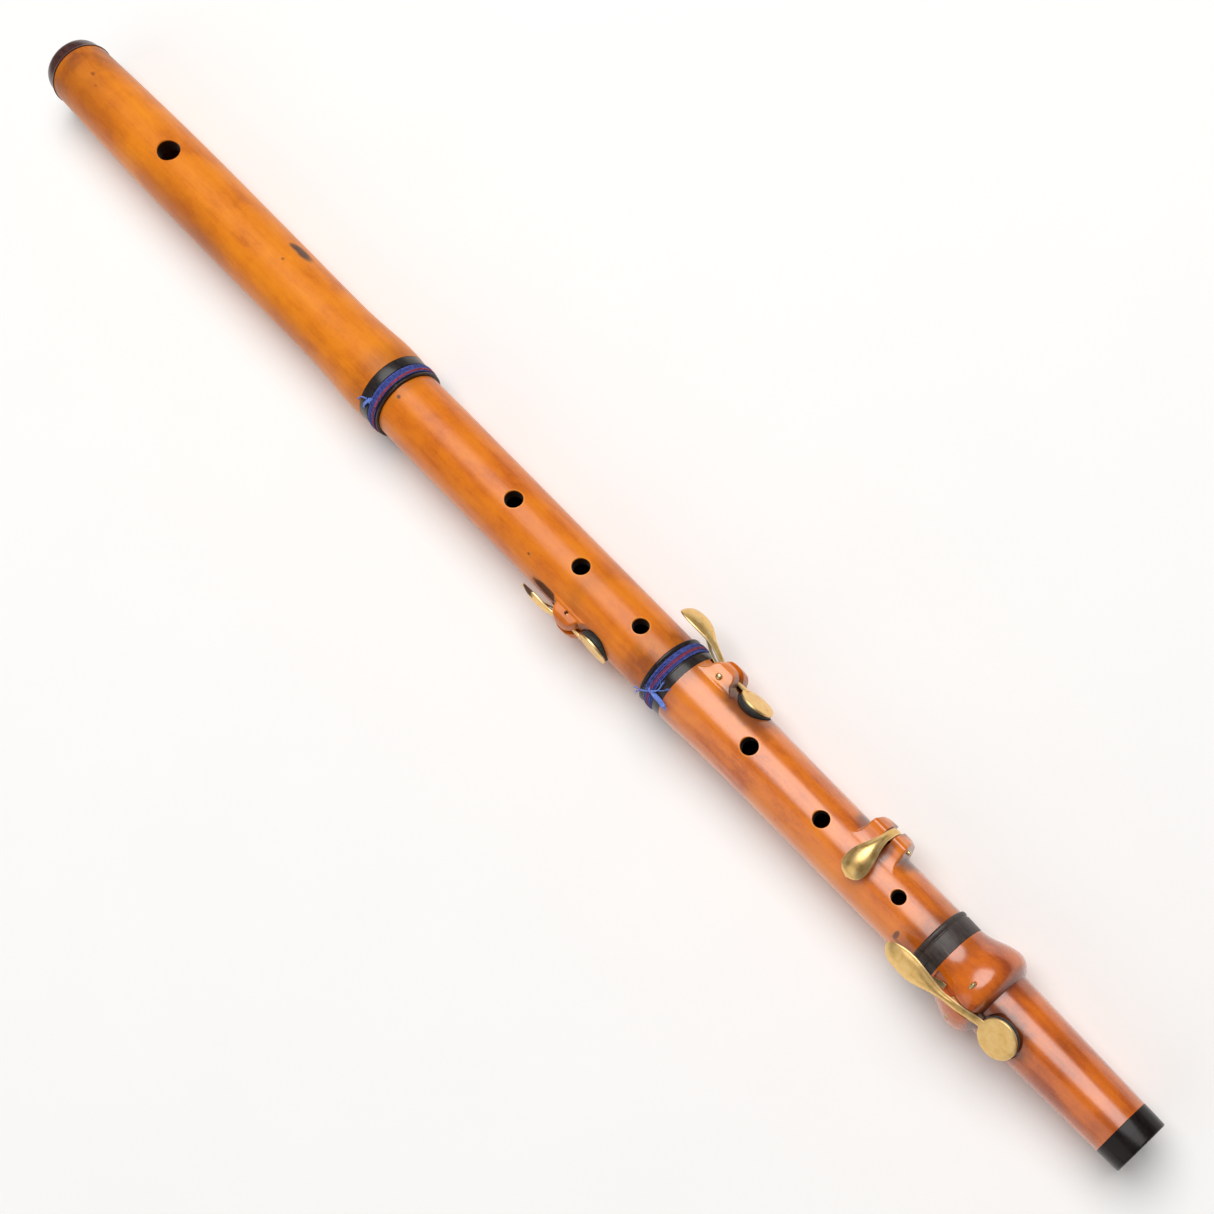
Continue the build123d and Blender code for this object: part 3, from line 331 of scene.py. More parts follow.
# ---------------------------------------------------------------------------
# horn, brass, thread, leather, cork, floor
# ---------------------------------------------------------------------------
def horn(name, base, pale, rough, coat, wear=0.35, seed=0.0, spec=0.5):
    g = Mat(name)
    P = g.vm("ADD", g.p, (seed, seed * 2.0, seed * 3.0))
    streak = g.noise(P, 1.0, 5.0, 0.6, 0.4, mul=(0.25, 0.9, 0.9))
    turn = g.noise(P, 1.0, 4.0, 0.7, 0.0, mul=(5.5, 0.10, 0.10))
    col = g.ramp(g.ma("MULTIPLY_ADD", turn, 0.35, g.ma("MULTIPLY", streak, 0.65)), [(0.35, base), (0.68, pale)])
    edge = g.n("ShaderNodeNewGeometry").outputs["Pointiness"]
    e = g.ma("MULTIPLY", g.rng(edge, 0.53, 0.60), wear)
    col = g.mix(e, col, tuple(min(1, c * 2.4 + 0.05) for c in pale))
    scr = g.rng(g.noise(P, 1.0, 5.0, 0.75, 0.3, mul=(1.2, 1.0, 1.0)), 0.52, 0.70)
    r = g.ma("MULTIPLY_ADD", scr, 0.16, g.ma("MULTIPLY_ADD", g.ma("SUBTRACT", streak, 0.5), 0.2, rough), clamp=True)
    nrm = g.bump(g.ma("ADD", g.ma("MULTIPLY", turn, 0.7), g.ma("MULTIPLY", scr, 0.4)), 0.35, 0.00005)
    g.set(Base_Color=col, Roughness=r, Normal=nrm, Specular_IOR_Level=spec, Coat_Weight=coat, Coat_Roughness=0.2, IOR=1.54)
    return g.m


m_cap = horn("dark_brown_horn", (0.022, 0.0062, 0.0055), (0.105, 0.033, 0.025), 0.30, 0.30, 0.30, 3.0, 0.35)
m_ring = horn("black_horn", (0.0075, 0.0058, 0.0055), (0.030, 0.020, 0.018), 0.30, 0.20, 0.35, 7.0, 0.3)
m_ring_worn = horn("worn_black_horn", (0.020, 0.017, 0.0165), (0.085, 0.060, 0.052), 0.42, 0.12, 0.5, 11.0, 0.3)
m_ferrule = horn("black_horn_ferrule", (0.0042, 0.0030, 0.0028), (0.014, 0.0080, 0.0080), 0.26, 0.22, 0.8, 17.0, 0.12)


def brass(name, deep, mid, bright, rough, seed, spots=()):
    g = Mat(name)
    P = g.vm("ADD", g.p, (seed, -seed, seed * 1.7))
    cloud = g.noise(P, 0.33, 5.0, 0.6, 0.5)
    fine = g.noise(P, 3.2, 4.0, 0.7)
    v = g.ma("MULTIPLY_ADD", fine, 0.30, g.ma("MULTIPLY", cloud, 0.70))
    col = g.ramp(v, [(0.30, deep), (0.47, mid), (0.64, bright)])
    edge = g.n("ShaderNodeNewGeometry").outputs["Pointiness"]
    col = g.mix(g.ma("MULTIPLY", g.rng(edge, 0.52, 0.58), 0.5), col, (0.93, 0.80, 0.52))
    col = g.mix(g.ma("MULTIPLY", g.rng(edge, 0.485, 0.43), 0.6), col, (0.20, 0.13, 0.05))
    metal = 1.0
    pit = None
    for centre, radii, color, amount, soft in spots:
        s = g.ma("MULTIPLY", g.spot(centre, radii, soft, 0.6, 1.3), amount)
        col = g.mix(s, col, color)
        pit = s if pit is None else g.ma("MAXIMUM", pit, s)
    brushed = g.noise(P, 1.0, 4.0, 0.7, 0.0, mul=(0.7, 6.0, 6.0))
    r = g.ma("MULTIPLY_ADD", g.ma("SUBTRACT", cloud, 0.5), 0.28, rough)
    r = g.ma("ADD", r, g.ma("MULTIPLY", g.ma("SUBTRACT", brushed, 0.5), 0.10), clamp=True)
    h = g.ma("ADD", g.ma("MULTIPLY", fine, 0.6), g.ma("MULTIPLY", brushed, 0.3))
    ins = dict(Base_Color=col, Metallic=1.0, Normal=g.bump(h, 0.22, 0.00006))
    if pit is not None:
        r = g.ma("MULTIPLY_ADD", pit, 0.45, r, clamp=True)
        ins["Metallic"] = g.ma("SUBTRACT", 1.0, g.ma("MULTIPLY", pit, 0.9))
    g.set(Roughness=r, **ins)
    return g.m


BR = ((0.68, 0.42, 0.135), (0.90, 0.575, 0.205), (0.97, 0.69, 0.305))
m_brass_gs = brass("key_brass_worn_gs", *BR, 0.41, 5.0)
m_brass_eb = brass("key_brass_worn_eb", *BR, 0.41, 9.0)
m_brass_f = brass("key_brass_worn_f", *BR, 0.36, 14.0)
m_brass_bb = brass("key_brass_worn_bb", *BR, 0.40, 21.0,
                   spots=[(polar(250.0, -69.5, 17.5), (3.2, 2.4, 2.4), (0.10, 0.035, 0.015), 1.0, 0.5)])
m_pin = brass("pin_brass_dull", (0.30, 0.20, 0.08), (0.52, 0.38, 0.17), (0.74, 0.58, 0.30), 0.30, 2.0)
m_spring = brass("spring_brass_tarnished", (0.10, 0.085, 0.045), (0.26, 0.21, 0.10), (0.48, 0.38, 0.19), 0.42, 31.0)


def thread(name, c0, c1, c2, seed):
    g = Mat(name)
    P = g.vm("ADD", g.p, (seed, seed, -seed))
    v = g.ma("MULTIPLY_ADD", g.noise(P, 6.0, 4.0, 0.7), 0.55, g.ma("MULTIPLY", g.noise(P, 0.8, 3.0), 0.45))
    col = g.ramp(v, [(0.34, c0), (0.50, c1), (0.66, c2)])
    r = g.ma("MULTIPLY_ADD", g.noise(P, 4.0, 2.0), 0.2, 0.72)
    fuzz = g.noise(P, 9.0, 3.0, 0.8, 0.0, mul=(1.0, 1.0, 1.0))
    g.set(Base_Color=col, Roughness=r, Normal=g.bump(fuzz, 0.6, 0.00008), Sheen_Weight=0.08, Sheen_Roughness=0.5)
    return g.m


m_blue = thread("blue_cotton_thread", (0.018, 0.028, 0.16), (0.052, 0.082, 0.37), (0.11, 0.17, 0.55), 3.0)
m_navy = thread("dark_blue_cotton_thread", (0.018, 0.024, 0.14), (0.040, 0.056, 0.29), (0.08, 0.11, 0.42), 5.0)
m_red = thread("red_cotton_thread", (0.12, 0.010, 0.025), (0.34, 0.030, 0.055), (0.58, 0.09, 0.11), 8.0)
m_tail = thread("light_blue_cotton_ends", (0.07, 0.13, 0.50), (0.14, 0.24, 0.72), (0.26, 0.38, 0.86), 12.0)
m_lap = thread("waxed_lapping_thread", (0.30, 0.20, 0.10), (0.52, 0.38, 0.21), (0.68, 0.54, 0.34), 15.0)


def leather():
    g = Mat("aged_pad_leather")
    a = g.noise(g.p, 1.1, 5.0, 0.65, 0.6)
    b = g.n("ShaderNodeTexVoronoi", {"Vector": g.p, "Scale": 2.2}, feature="F1").outputs["Distance"]
    col = g.ramp(a, [(0.34, (0.0075, 0.0075, 0.0055)), (0.55, (0.024, 0.024, 0.019)), (0.72, (0.075, 0.076, 0.062))])
    r = g.ma("MULTIPLY_ADD", a, 0.3, 0.42)
    g.set(Base_Color=col, Roughness=r, Normal=g.bump(g.ma("ADD", b, g.ma("MULTIPLY", a, 1.5)), 0.5, 0.00012),
          Sheen_Weight=0.15)
    return g.m


m_pad = leather()


def cork():
    g = Mat("stopper_cork_grain")
    v = g.n("ShaderNodeTexVoronoi", {"Vector": g.p, "Scale": 1.3}, feature="F1").outputs["Distance"]
    a = g.noise(g.p, 0.7, 5.0, 0.7, 0.5)
    col = g.ramp(g.ma("MULTIPLY_ADD", v, 0.4, g.ma("MULTIPLY", a, 0.7)),
                 [(0.32, (0.14, 0.075, 0.035)), (0.50, (0.42, 0.26, 0.13)), (0.70, (0.60, 0.42, 0.24))])
    g.set(Base_Color=col, Roughness=g.ma("MULTIPLY_ADD", a, 0.15, 0.78), Normal=g.bump(v, 0.7, 0.0002))
    return g.m


m_cork = cork()


def floor_mat():
    g = Mat("pale_sweep")
    a = g.noise(g.p, 0.02, 3.0)
    col = g.ramp(a, [(0.3, (0.965, 0.961, 0.955)), (0.7, (0.975, 0.971, 0.965))])
    g.set(Base_Color=col, Roughness=0.9, Specular_IOR_Level=0.1)
    return g.m


# ---------------------------------------------------------------------------
# mesh helpers (all lengths in millimetres until the mesh is made)
# ---------------------------------------------------------------------------
def make(name, verts, faces, mats, smooth=True, angle=None, index=None):
    me = bpy.data.meshes.new(name)
    v = np.asarray(verts, float) * 0.001
    me.from_pydata(v.tolist(), [], faces)
    me.update()
    for m in mats if isinstance(mats, (list, tuple)) else [mats]:
        me.materials.append(m)
    if index is not None:
        me.polygons.foreach_set("material_index", np.asarray(index, np.int32))
    ob = bpy.data.objects.new(name, me)
    scene.collection.objects.link(ob)
    if smooth:
        me.polygons.foreach_set("use_smooth", [True] * len(me.polygons))
        if angle is not None:
            sharpen(me, angle)
    return ob


def sharpen(me, angle):
    bm = bmesh.new()
    bm.from_mesh(me)
    lim = math.radians(angle)
    for e in bm.edges:
        if len(e.link_faces) == 2:
            e.smooth = e.calc_face_angle(0.0) < lim
    bm.to_mesh(me)
    bm.free()


def grid_faces(n, m, base=0, close_n=True, close_m=True):
    f = []
    for i in range(n if close_n else n - 1):
        i2 = (i + 1) % n
        for j in range(m if close_m else m - 1):
            j2 = (j + 1) % m
            f.append((base + i * m + j, base + i * m + j2, base + i2 * m + j2, base + i2 * m + j))
    return f


def lathe(name, prof, mats, n=160, angle=30, perturb=None, solid=False):
    """Turns a closed profile of (x, r); a solid piece's profile starts and ends on the axis."""
    prof = np.asarray(prof, float)
    ph = np.linspace(0, 2 * math.pi, n, endpoint=False)
    if not solid:
        r = np.repeat(prof[:, 1:2], n, 1)
        x = np.repeat(prof[:, 0:1], n, 1)
        if perturb is not None:
            x, r = perturb(x, r, ph[None, :])
        v = np.stack([x, r * np.sin(ph), r * np.cos(ph)], -1).reshape(-1, 3)
        f = grid_faces(len(prof), n)
    else:
        mid = prof[1:-1]
        r = np.repeat(mid[:, 1:2], n, 1)
        x = np.repeat(mid[:, 0:1], n, 1)
        if perturb is not None:
            x, r = perturb(x, r, ph[None, :])
        v = np.stack([x, r * np.sin(ph), r * np.cos(ph)], -1).reshape(-1, 3)
        f = grid_faces(len(mid), n, close_n=False)
        a, b = len(v), len(v) + 1
        v = np.vstack([v, [[prof[0, 0], 0, 0], [prof[-1, 0], 0, 0]]])
        last = (len(mid) - 1) * n
        f += [(a, (j + 1) % n, j) for j in range(n)]
        f += [(b, last + j, last + (j + 1) % n) for j in range(n)]
    ob = make(name, v, f, mats)
    bm = bmesh.new()
    bm.from_mesh(ob.data)
    bmesh.ops.recalc_face_normals(bm, faces=bm.faces)
    bm.to_mesh(ob.data)
    bm.free()
    sharpen(ob.data, angle)
    return ob


def rounded(pts, rad=0.12, steps=3, closed=True):
    """Rounds the corners of a profile with small arcs."""
    out = []
    n = len(pts)
    for i, p in enumerate(pts):
        if not closed and i in (0, n - 1):
            out.append(p)
            continue
        a, b = Vector(pts[i - 1]), Vector(pts[(i + 1) % n])
        c = Vector(p)
        u, w = a - c, b - c
        lu, lw = u.length, w.length
        if lu < 1e-6 or lw < 1e-6:
            out.append(p)
            continue
        turn = math.pi - u.angle(w)
        k = min(rad, lu * 0.4, lw * 0.4)
        if turn < 0.2 or k < 0.01:
            out.append(p)
            continue
        s, e = c + u / lu * k, c + w / lw * k
        for t in np.linspace(0, 1, steps + 1):
            q = s * (1 - t) ** 2 + c * 2 * t * (1 - t) + e * t * t
            out.append((q.x, q.y))
    return out


def spline(pts, xs):
    """Natural cubic spline through stations."""
    p = np.asarray(pts, float)
    x, y = p[:, 0], p[:, 1]
    n = len(x)
    h = np.diff(x)
    A, b = np.zeros((n, n)), np.zeros(n)
    A[0, 0] = A[-1, -1] = 1
    for i in range(1, n - 1):
        A[i, i - 1], A[i, i], A[i, i + 1] = h[i - 1], 2 * (h[i - 1] + h[i]), h[i]
        b[i] = 3 * ((y[i + 1] - y[i]) / h[i] - (y[i] - y[i - 1]) / h[i - 1])
    c = np.linalg.solve(A, b)
    k = np.clip(np.searchsorted(x, xs) - 1, 0, n - 2)
    d = (c[k + 1] - c[k]) / (3 * h[k])
    bb = (y[k + 1] - y[k]) / h[k] - h[k] * (2 * c[k] + c[k + 1]) / 3
    t = xs - x[k]
    return y[k] + bb * t + c[k] * t * t + d * t ** 3


def frames(path):
    """Parallel-transported normals along a path."""
    p = np.asarray(path, float)
    t = np.gradient(p, axis=0)
    t /= np.linalg.norm(t, axis=1)[:, None] + 1e-12
    a = np.array([0, 0, 1.0]) if abs(t[0, 2]) < 0.9 else np.array([0, 1.0, 0])
    nrm = np.zeros_like(p)
    nrm[0] = a - t[0] * (a @ t[0])
    nrm[0] /= np.linalg.norm(nrm[0])
    for i in range(1, len(p)):
        q = nrm[i - 1] - t[i] * (nrm[i - 1] @ t[i])
        nrm[i] = q / (np.linalg.norm(q) + 1e-12)
    return p, t, nrm, np.cross(t, nrm)


def tube_data(path, rad, sides=8, flat=1.0):
    p, t, u, w = frames(path)
    rad = np.broadcast_to(np.asarray(rad, float), (len(p),))
    a = np.linspace(0, 2 * math.pi, sides, endpoint=False)
    v = p[:, None, :] + rad[:, None, None] * (np.cos(a)[None, :, None] * u[:, None, :]
                                              + flat * np.sin(a)[None, :, None] * w[:, None, :])
    v = v.reshape(-1, 3)
    f = grid_faces(len(p), sides, close_n=False)
    a0, b0 = len(v), len(v) + 1
    v = np.vstack([v, [p[0]], [p[-1]]])
    last = (len(p) - 1) * sides
    f += [(a0, (j + 1) % sides, j) for j in range(sides)]
    f += [(b0, last + j, last + (j + 1) % sides) for j in range(sides)]
    return v, f


def join_data(parts):
    """parts: list of (verts, faces, material index)."""
    V, F, I, o = [], [], [], 0
    for v, f, m in parts:
        V.append(np.asarray(v, float))
        F += [tuple(i + o for i in q) for q in f]
        I += [m] * len(f)
        o += len(v)
    return np.vstack(V), F, I


def fix_normals(ob):
    bm = bmesh.new()
    bm.from_mesh(ob.data)
    bmesh.ops.recalc_face_normals(bm, faces=bm.faces)
    bm.to_mesh(ob.data)
    bm.free()


def stand_for(piece, body, node):
    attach(piece, body)
    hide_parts(node)
    return piece




# ---------------------------------------------------------------------------
# carved key blocks as distance fields, blended into the turned wood
# ---------------------------------------------------------------------------
def sd_poly(px, py, poly):
    """Signed distance to a closed polygon, negative inside."""
    poly = np.asarray(poly, float)
    d = np.full(px.shape, 1e9)
    inside = np.zeros(px.shape, bool)
    for i in range(len(poly)):
        ax, ay = poly[i]
        bx, by = poly[(i + 1) % len(poly)]
        ex, ey = bx - ax, by - ay
        wx, wy = px - ax, py - ay
        t = np.clip((wx * ex + wy * ey) / (ex * ex + ey * ey + 1e-12), 0, 1)
        d = np.minimum(d, (wx - ex * t) ** 2 + (wy - ey * t) ** 2)
        c = ((ay > py) != (by > py)) & (px < (bx - ax) * (py - ay) / (by - ay + 1e-12) + ax)
        inside ^= c
    d = np.sqrt(d)
    return np.where(inside, -d, d)


def smax(a, b, k):
    h = np.clip(0.5 + 0.5 * (a - b) / k, 0, 1)
    return b + (a - b) * h + k * h * (1 - h)


def smin(a, b, k):
    return -smax(-a, -b, k)


def block_side(u0, u1, top, foot_r):
    m, h = (u0 + u1) / 2, (u1 - u0) / 2
    low = top - h
    arch = []
    for i in range(17):
        a = math.radians(172 - 164 * i / 16)
        arch.append((m + h * math.cos(a), low + h * math.sin(a)))
    return [(u0 - 2.2, foot_r - 1.6), (u0 - 0.8, foot_r - 0.2)] + arch + [(u1 + 0.8, foot_r - 0.2),
                                                                        (u1 + 2.2, foot_r - 1.6)]


def block_field(key, side_poly, cross_poly, k_edge):
    f = math.radians(key["phi"])
    s, c = math.sin(f), math.cos(f)

    def field(x, y, z):
        u, v, w = x - X(key["x"]), y * c - z * s, y * s + z * c
        a = sd_poly(u, w, side_poly)
        b = sd_poly(v, w, cross_poly)
        return smax(a, b, k_edge)
    return field


BB = dict(x=268.4, phi=-80.0, r=13.2, fx=282.4, fr=6.8, seat=11.1)
GS = dict(x=326.0, phi=69.6, r=13.5, fx=340.3, fr=6.6, seat=10.6)
EB = dict(x=456.9, phi=-38.0, r=13.45, fx=472.7, fr=6.9, seat=9.8)
FX, F_PIN_Y, F_PIN_Z = 404.9, 13.4, 7.6
F_PHI, F_SEAT, F_FR = 106.0, 10.1, 6.4

bb_field = block_field(BB, block_side(-6.2, 5.5, 18.0, 13.2),
                       [(-9.6, 8.2), (-7.9, 10.4), (-6.75, 12.6), (-6.4, 15.3), (-5.6, 16.6), (-3.2, 17.6),
                        (0, 18.0), (3.2, 17.6), (5.6, 16.6), (6.4, 15.3), (6.75, 12.6), (8.2, 10.7),
                        (10.4, 8.8)], 0.9)
gs_field = block_field(GS, block_side(-5.6, 5.5, 18.3, 13.0),
                       [(-11.6, 7.0), (-9.7, 9.25), (-8.2, 11.0), (-7.2, 12.7), (-6.6, 14.6), (-5.6, 16.7),
                        (-3.2, 17.8), (0, 18.3), (3.2, 17.8), (5.6, 16.7), (6.4, 15.2), (6.7, 13.2),
                        (7.2, 11.4), (8.5, 9.9), (9.6, 8.4)], 0.8)
F_YZ = [(3.6, 9.4), (6.2, 10.55), (8.6, 10.75), (11.2, 11.1), (13.2, 11.6), (14.3, 10.9),
        (15.9, 8.2), (17.0, 5.0), (17.25, 2.2), (16.6, 0.4), (15.0, -0.4), (9.0, -0.8), (3.0, 2.0)]
F_XY = [(-9.2, 3.0), (-8.3, 6.4), (-7.8, 9.5), (-7.4, 13.5), (-6.4, 16.4), (-4.0, 17.6), (4.0, 17.6),
        (6.4, 16.4), (7.4, 13.5), (7.8, 9.5), (8.3, 6.4), (9.2, 3.0)]


def f_field(x, y, z):
    u = x - X(FX)
    a = sd_poly(y, z, F_YZ)
    b = sd_poly(u, y, F_XY)
    return smax(a, b, 0.7)


def wood_outer(xs, phis, base, fields, rmax=19.3):
    """Outer radius for every station and angle: turned profile joined to carved blocks."""
    R = np.repeat(base[:, None], len(phis), 1)
    for field, x0, x1, k in fields:
        sel = np.where((xs >= x0) & (xs <= x1))[0]
        if not len(sel):
            continue
        rs = np.arange(9.6, rmax, 0.14)
        sx = xs[sel][:, None, None]
        sp, cp = np.sin(phis)[None, :, None], np.cos(phis)[None, :, None]
        rr = rs[None, None, :]
        one = np.ones((len(sel), len(phis), len(rs)))
        F = smin(rr - base[sel][:, None, None] * one, field(sx * one, rr * sp * one, rr * cp * one), k)
        neg = F < 0
        last = neg.shape[2] - 1 - np.argmax(neg[:, :, ::-1], 2)
        last = np.clip(last, 0, len(rs) - 2)
        i, j = np.meshgrid(range(len(sel)), range(len(phis)), indexing="ij")
        fa, fb = F[i, j, last], F[i, j, last + 1]
        t = np.clip(fa / (fa - fb + 1e-9), 0, 1)
        got = rs[last] + 0.14 * t
        got = np.where(neg.any(2), got, base[sel][:, None])
        R[sel] = np.maximum(R[sel], got)
    return R


def stations(x0, x1, step, zones, fine):
    xs, x = [x0], x0
    while x < x1 - 1e-6:
        s = fine if any(a <= x <= b for a, b in zones) else step
        x += s
        xs.append(min(x, x1))
    if xs[-1] - xs[-2] < 0.05:
        xs.pop(-2)
    return np.array(xs)


def angles(n_base, zones, fine_deg):
    step = 360.0 / n_base
    out, a = [], -180.0
    while a < 180.0 - 1e-6:
        out.append(a)
        a += fine_deg if any(p <= a <= q for p, q in zones) else step
    return np.radians(np.array(out))


def wood_mesh(name, mat, pts, inner, x_zones, fields, phi_zones, end_lead=None):
    """Closed mesh: carved outside, then the turned ends, sockets and bore."""
    d0, d1 = end_lead if end_lead else (pts[0][0], pts[-1][0])
    xs = stations(X(d0), X(d1), 0.9, [(X(a), X(b)) for a, b in x_zones], 0.27)
    base = pts(xs) if callable(pts) else spline([(X(a), b) for a, b in pts], xs)
    phis = angles(180, phi_zones, 0.85)
    R = wood_outer(xs, phis, base, fields)
    prof = np.array([(X(a), b) for a, b in rounded([(q[0], q[1]) for q in inner], 0.25, 2, closed=False)])
    nx, m = len(xs), len(phis)
    vx = np.concatenate([np.repeat(xs[:, None], m, 1), np.repeat(prof[:, 0:1], m, 1)])
    vr = np.concatenate([R, np.repeat(prof[:, 1:2], m, 1)])
    v = np.stack([vx, vr * np.sin(phis), vr * np.cos(phis)], -1).reshape(-1, 3)
    ob = make(name, v, grid_faces(nx + len(prof), m), mat)
    fix_normals(ob)
    return ob


def disc_cutter(d, phi, prof, n=56, squash=1.0):
    """Cutter turned about a radial axis: profile of (radius, height from the bore axis)."""
    f = math.radians(phi)
    s, c = math.sin(f), math.cos(f)
    a = np.linspace(0, 2 * math.pi, n, endpoint=False)
    V = []
    for rad, h in prof:
        u, v = rad * np.cos(a), rad * squash * np.sin(a)
        V.append(np.stack([X(d) + u, v * c + h * s, -v * s + h * c], -1))
    V = np.concatenate(V)
    F = grid_faces(len(prof), n, close_n=False)
    F.append(tuple(range(n - 1, -1, -1)))
    F.append(tuple(range((len(prof) - 1) * n, len(prof) * n)))
    return V, F, 0


def box_cutter(key_d, phi, u0, u1, half, h0, h1, round_ends=True):
    f = math.radians(phi)
    s, c = math.sin(f), math.cos(f)
    out = []
    if round_ends:
        for i in range(13):
            a = -math.pi / 2 + math.pi * i / 12
            out.append((u1 - half + half * math.cos(a), half * math.sin(a)))
        for i in range(13):
            a = math.pi / 2 + math.pi * i / 12
            out.append((u0 + half + half * math.cos(a), half * math.sin(a)))
    else:
        out = [(u0, -half), (u1, -half), (u1, half), (u0, half)]
    out = np.array(out)
    V = []
    for h in (h0, h1):
        V.append(np.stack([X(key_d) + out[:, 0], out[:, 1] * c + h * s, -out[:, 1] * s + h * c], -1))
    n = len(out)
    F = grid_faces(2, n, close_n=False) + [tuple(range(n - 1, -1, -1)), tuple(range(n, 2 * n))]
    return np.concatenate(V), F, 0


def pin_cutter(key, v0, v1, r=0.82, n=20):
    f = math.radians(key["phi"])
    s, c = math.sin(f), math.cos(f)
    a = np.linspace(0, 2 * math.pi, n, endpoint=False)
    V = []
    for v in (v0, v1):
        u, w = r * np.cos(a), key["r"] + r * np.sin(a)
        V.append(np.stack([X(key["x"]) + u, v * c + w * s, -v * s + w * c], -1))
    F = grid_faces(2, n, close_n=False) + [tuple(range(n - 1, -1, -1)), tuple(range(n, 2 * n))]
    return np.concatenate(V), F, 0


def cut(ob, groups):
    for parts in groups:
        V, F, I = join_data(parts)
        c = make("cutter", V, F, [], smooth=False)
        fix_normals(c)
        m = ob.modifiers.new("cut", "BOOLEAN")
        m.operation, m.object, m.solver = "DIFFERENCE", c, "EXACT"
        m.use_self = False
        dep = bpy.context.evaluated_depsgraph_get()
        me = bpy.data.meshes.new_from_object(ob.evaluated_get(dep))
        old = ob.data
        ob.modifiers.clear()
        ob.data = me
        bpy.data.meshes.remove(old)
        bpy.data.objects.remove(c)
    me = ob.data
    bm = bmesh.new()
    bm.from_mesh(me)
    bmesh.ops.remove_doubles(bm, verts=bm.verts, dist=1e-7)
    bmesh.ops.dissolve_degenerate(bm, dist=1e-7, edges=bm.edges)
    for f in bm.faces:
        f.smooth = True
    bm.to_mesh(me)
    bm.free()
    sharpen(me, 38)


def hole_prof(r, surf):
    """Finger hole: straight wall, then a small rounded rim at the surface."""
    return [(r, 2.0), (r, surf - 0.50), (r + 0.06, surf - 0.25), (r + 0.22, surf - 0.05), (r + 0.50, surf + 0.12),
            (r + 1.1, surf + 0.5), (r + 1.1, surf + 4)]


# head joint
HEAD_PTS = [(-75.5, 14.05), (-50, 14.62), (-25, 15.05), (-4, 15.25), (36, 15.13), (76, 14.86), (104, 14.62),
            (119, 14.80), (130, 15.42), (140, 15.86), (146.7, 15.50)]
head = wood_mesh("head_tube", m_head, HEAD_PTS,
                 [(146.72, 15.30), (146.72, 13.80), (157.0, 13.80), (157.0, 12.30), (131.4, 12.30), (131.4, 9.5),
                  (-79.0, 9.5), (-79.0, 12.30), (-75.52, 12.30), (-75.52, 13.90)], [(-7, 7)], [], [(0, 26)])
cut(head, [[disc_cutter(0, 12.3, [(5.15, 4.0), (5.35, 12.0), (5.42, 14.75), (5.50, 15.0), (5.72, 15.2), (6.2, 15.6), (6.2, 19)],
                        80, 4.85 / 5.45)]])
stand_for(head, "head", "head_joint")

# upper middle joint
UP_PTS = [(157.15, 13.93), (176.5, 13.97), (193.5, 13.84), (218, 13.68), (243.5, 13.48), (280, 13.24), (307.05, 13.08)]
upper = wood_mesh("upper_middle_tube", m_upper, UP_PTS,
                  [(307.05, 13.00), (307.05, 10.65), (308.6, 10.65), (308.6, 10.15), (324.4, 10.15), (324.4, 10.65), (326.5, 10.65),
                   (326.9, 10.25), (326.9, 8.05), (131.9, 9.25), (131.9, 11.65), (132.3, 12.05), (134.6, 12.05), (134.6, 11.5),
                   (153.4, 11.5), (153.4, 12.05), (157.15, 12.05), (157.15, 13.85)],
                  [(218, 230), (256, 296.5)], [(bb_field, X(256.5), X(281.0), 0.8)], [(-128, -34), (0, 28)])
cut(upper, [[disc_cutter(a, b, hole_prof(c, e)) for a, b, c, e in HOLES_UP]
            + [disc_cutter(BB["fx"], BB["phi"], [(7.2, BB["seat"]), (7.28, BB["seat"] + 0.2), (7.3, BB["seat"] + 8)], 72)],
            [box_cutter(BB["x"], BB["phi"], -9.5, 12.5, 1.8, 11.3, 19.5)],
            [disc_cutter(BB["fx"], BB["phi"], [(3.0, 3.0), (3.0, BB["seat"] - 0.25), (3.3, BB["seat"] + 0.15)]),
             pin_cutter(BB, -10, 10)]])
stand_for(upper, "upper_middle", "upper_middle_joint")

# lower middle joint
LO_PTS = [(317.4, 13.72), (322, 13.62), (330, 13.22), (342, 12.80), (360, 12.52), (379, 12.31), (400, 12.14),
          (422, 11.96), (436.35, 11.86)]
lower = wood_mesh("lower_middle_tube", m_lower, LO_PTS,
                  [(436.35, 11.78), (436.35, 8.78), (436.6, 8.78), (436.6, 8.35), (452.4, 8.35), (452.4, 8.78), (454.5, 8.78),
                   (454.8, 8.48), (454.8, 6.35), (327.4, 8.0), (327.4, 10.9), (307.2, 10.9), (307.2, 12.4), (317.42, 12.4),
                   (317.42, 13.62)],
                  [(317.3, 354.8), (382, 424)],
                  [(gs_field, X(317.5), X(338.0), 0.8), (f_field, X(392.5), X(417.5), 1.2)], [(20, 122), (-12, 20)])
f_seat = disc_cutter(FX, F_PHI, [(6.7, F_SEAT), (6.72, F_SEAT + 0.2), (6.75, F_SEAT + 9)], 72)
slot_yz = [(6.0, 11.9), (9.3, 8.7), (10.6, 6.0), (10.9, 2.0), (10.6, -3.0), (19.5, -3.0), (19.5, 14.0), (6.0, 14.0)]
fs = np.array(slot_yz)
fV = np.concatenate([np.stack([np.full(len(fs), X(FX) + sx), fs[:, 0], fs[:, 1]], -1) for sx in (-1.8, 1.8)])
fF = grid_faces(2, len(fs), close_n=False) + [tuple(range(len(fs) - 1, -1, -1)), tuple(range(len(fs), 2 * len(fs)))]
a20 = np.linspace(0, 2 * math.pi, 20, endpoint=False)
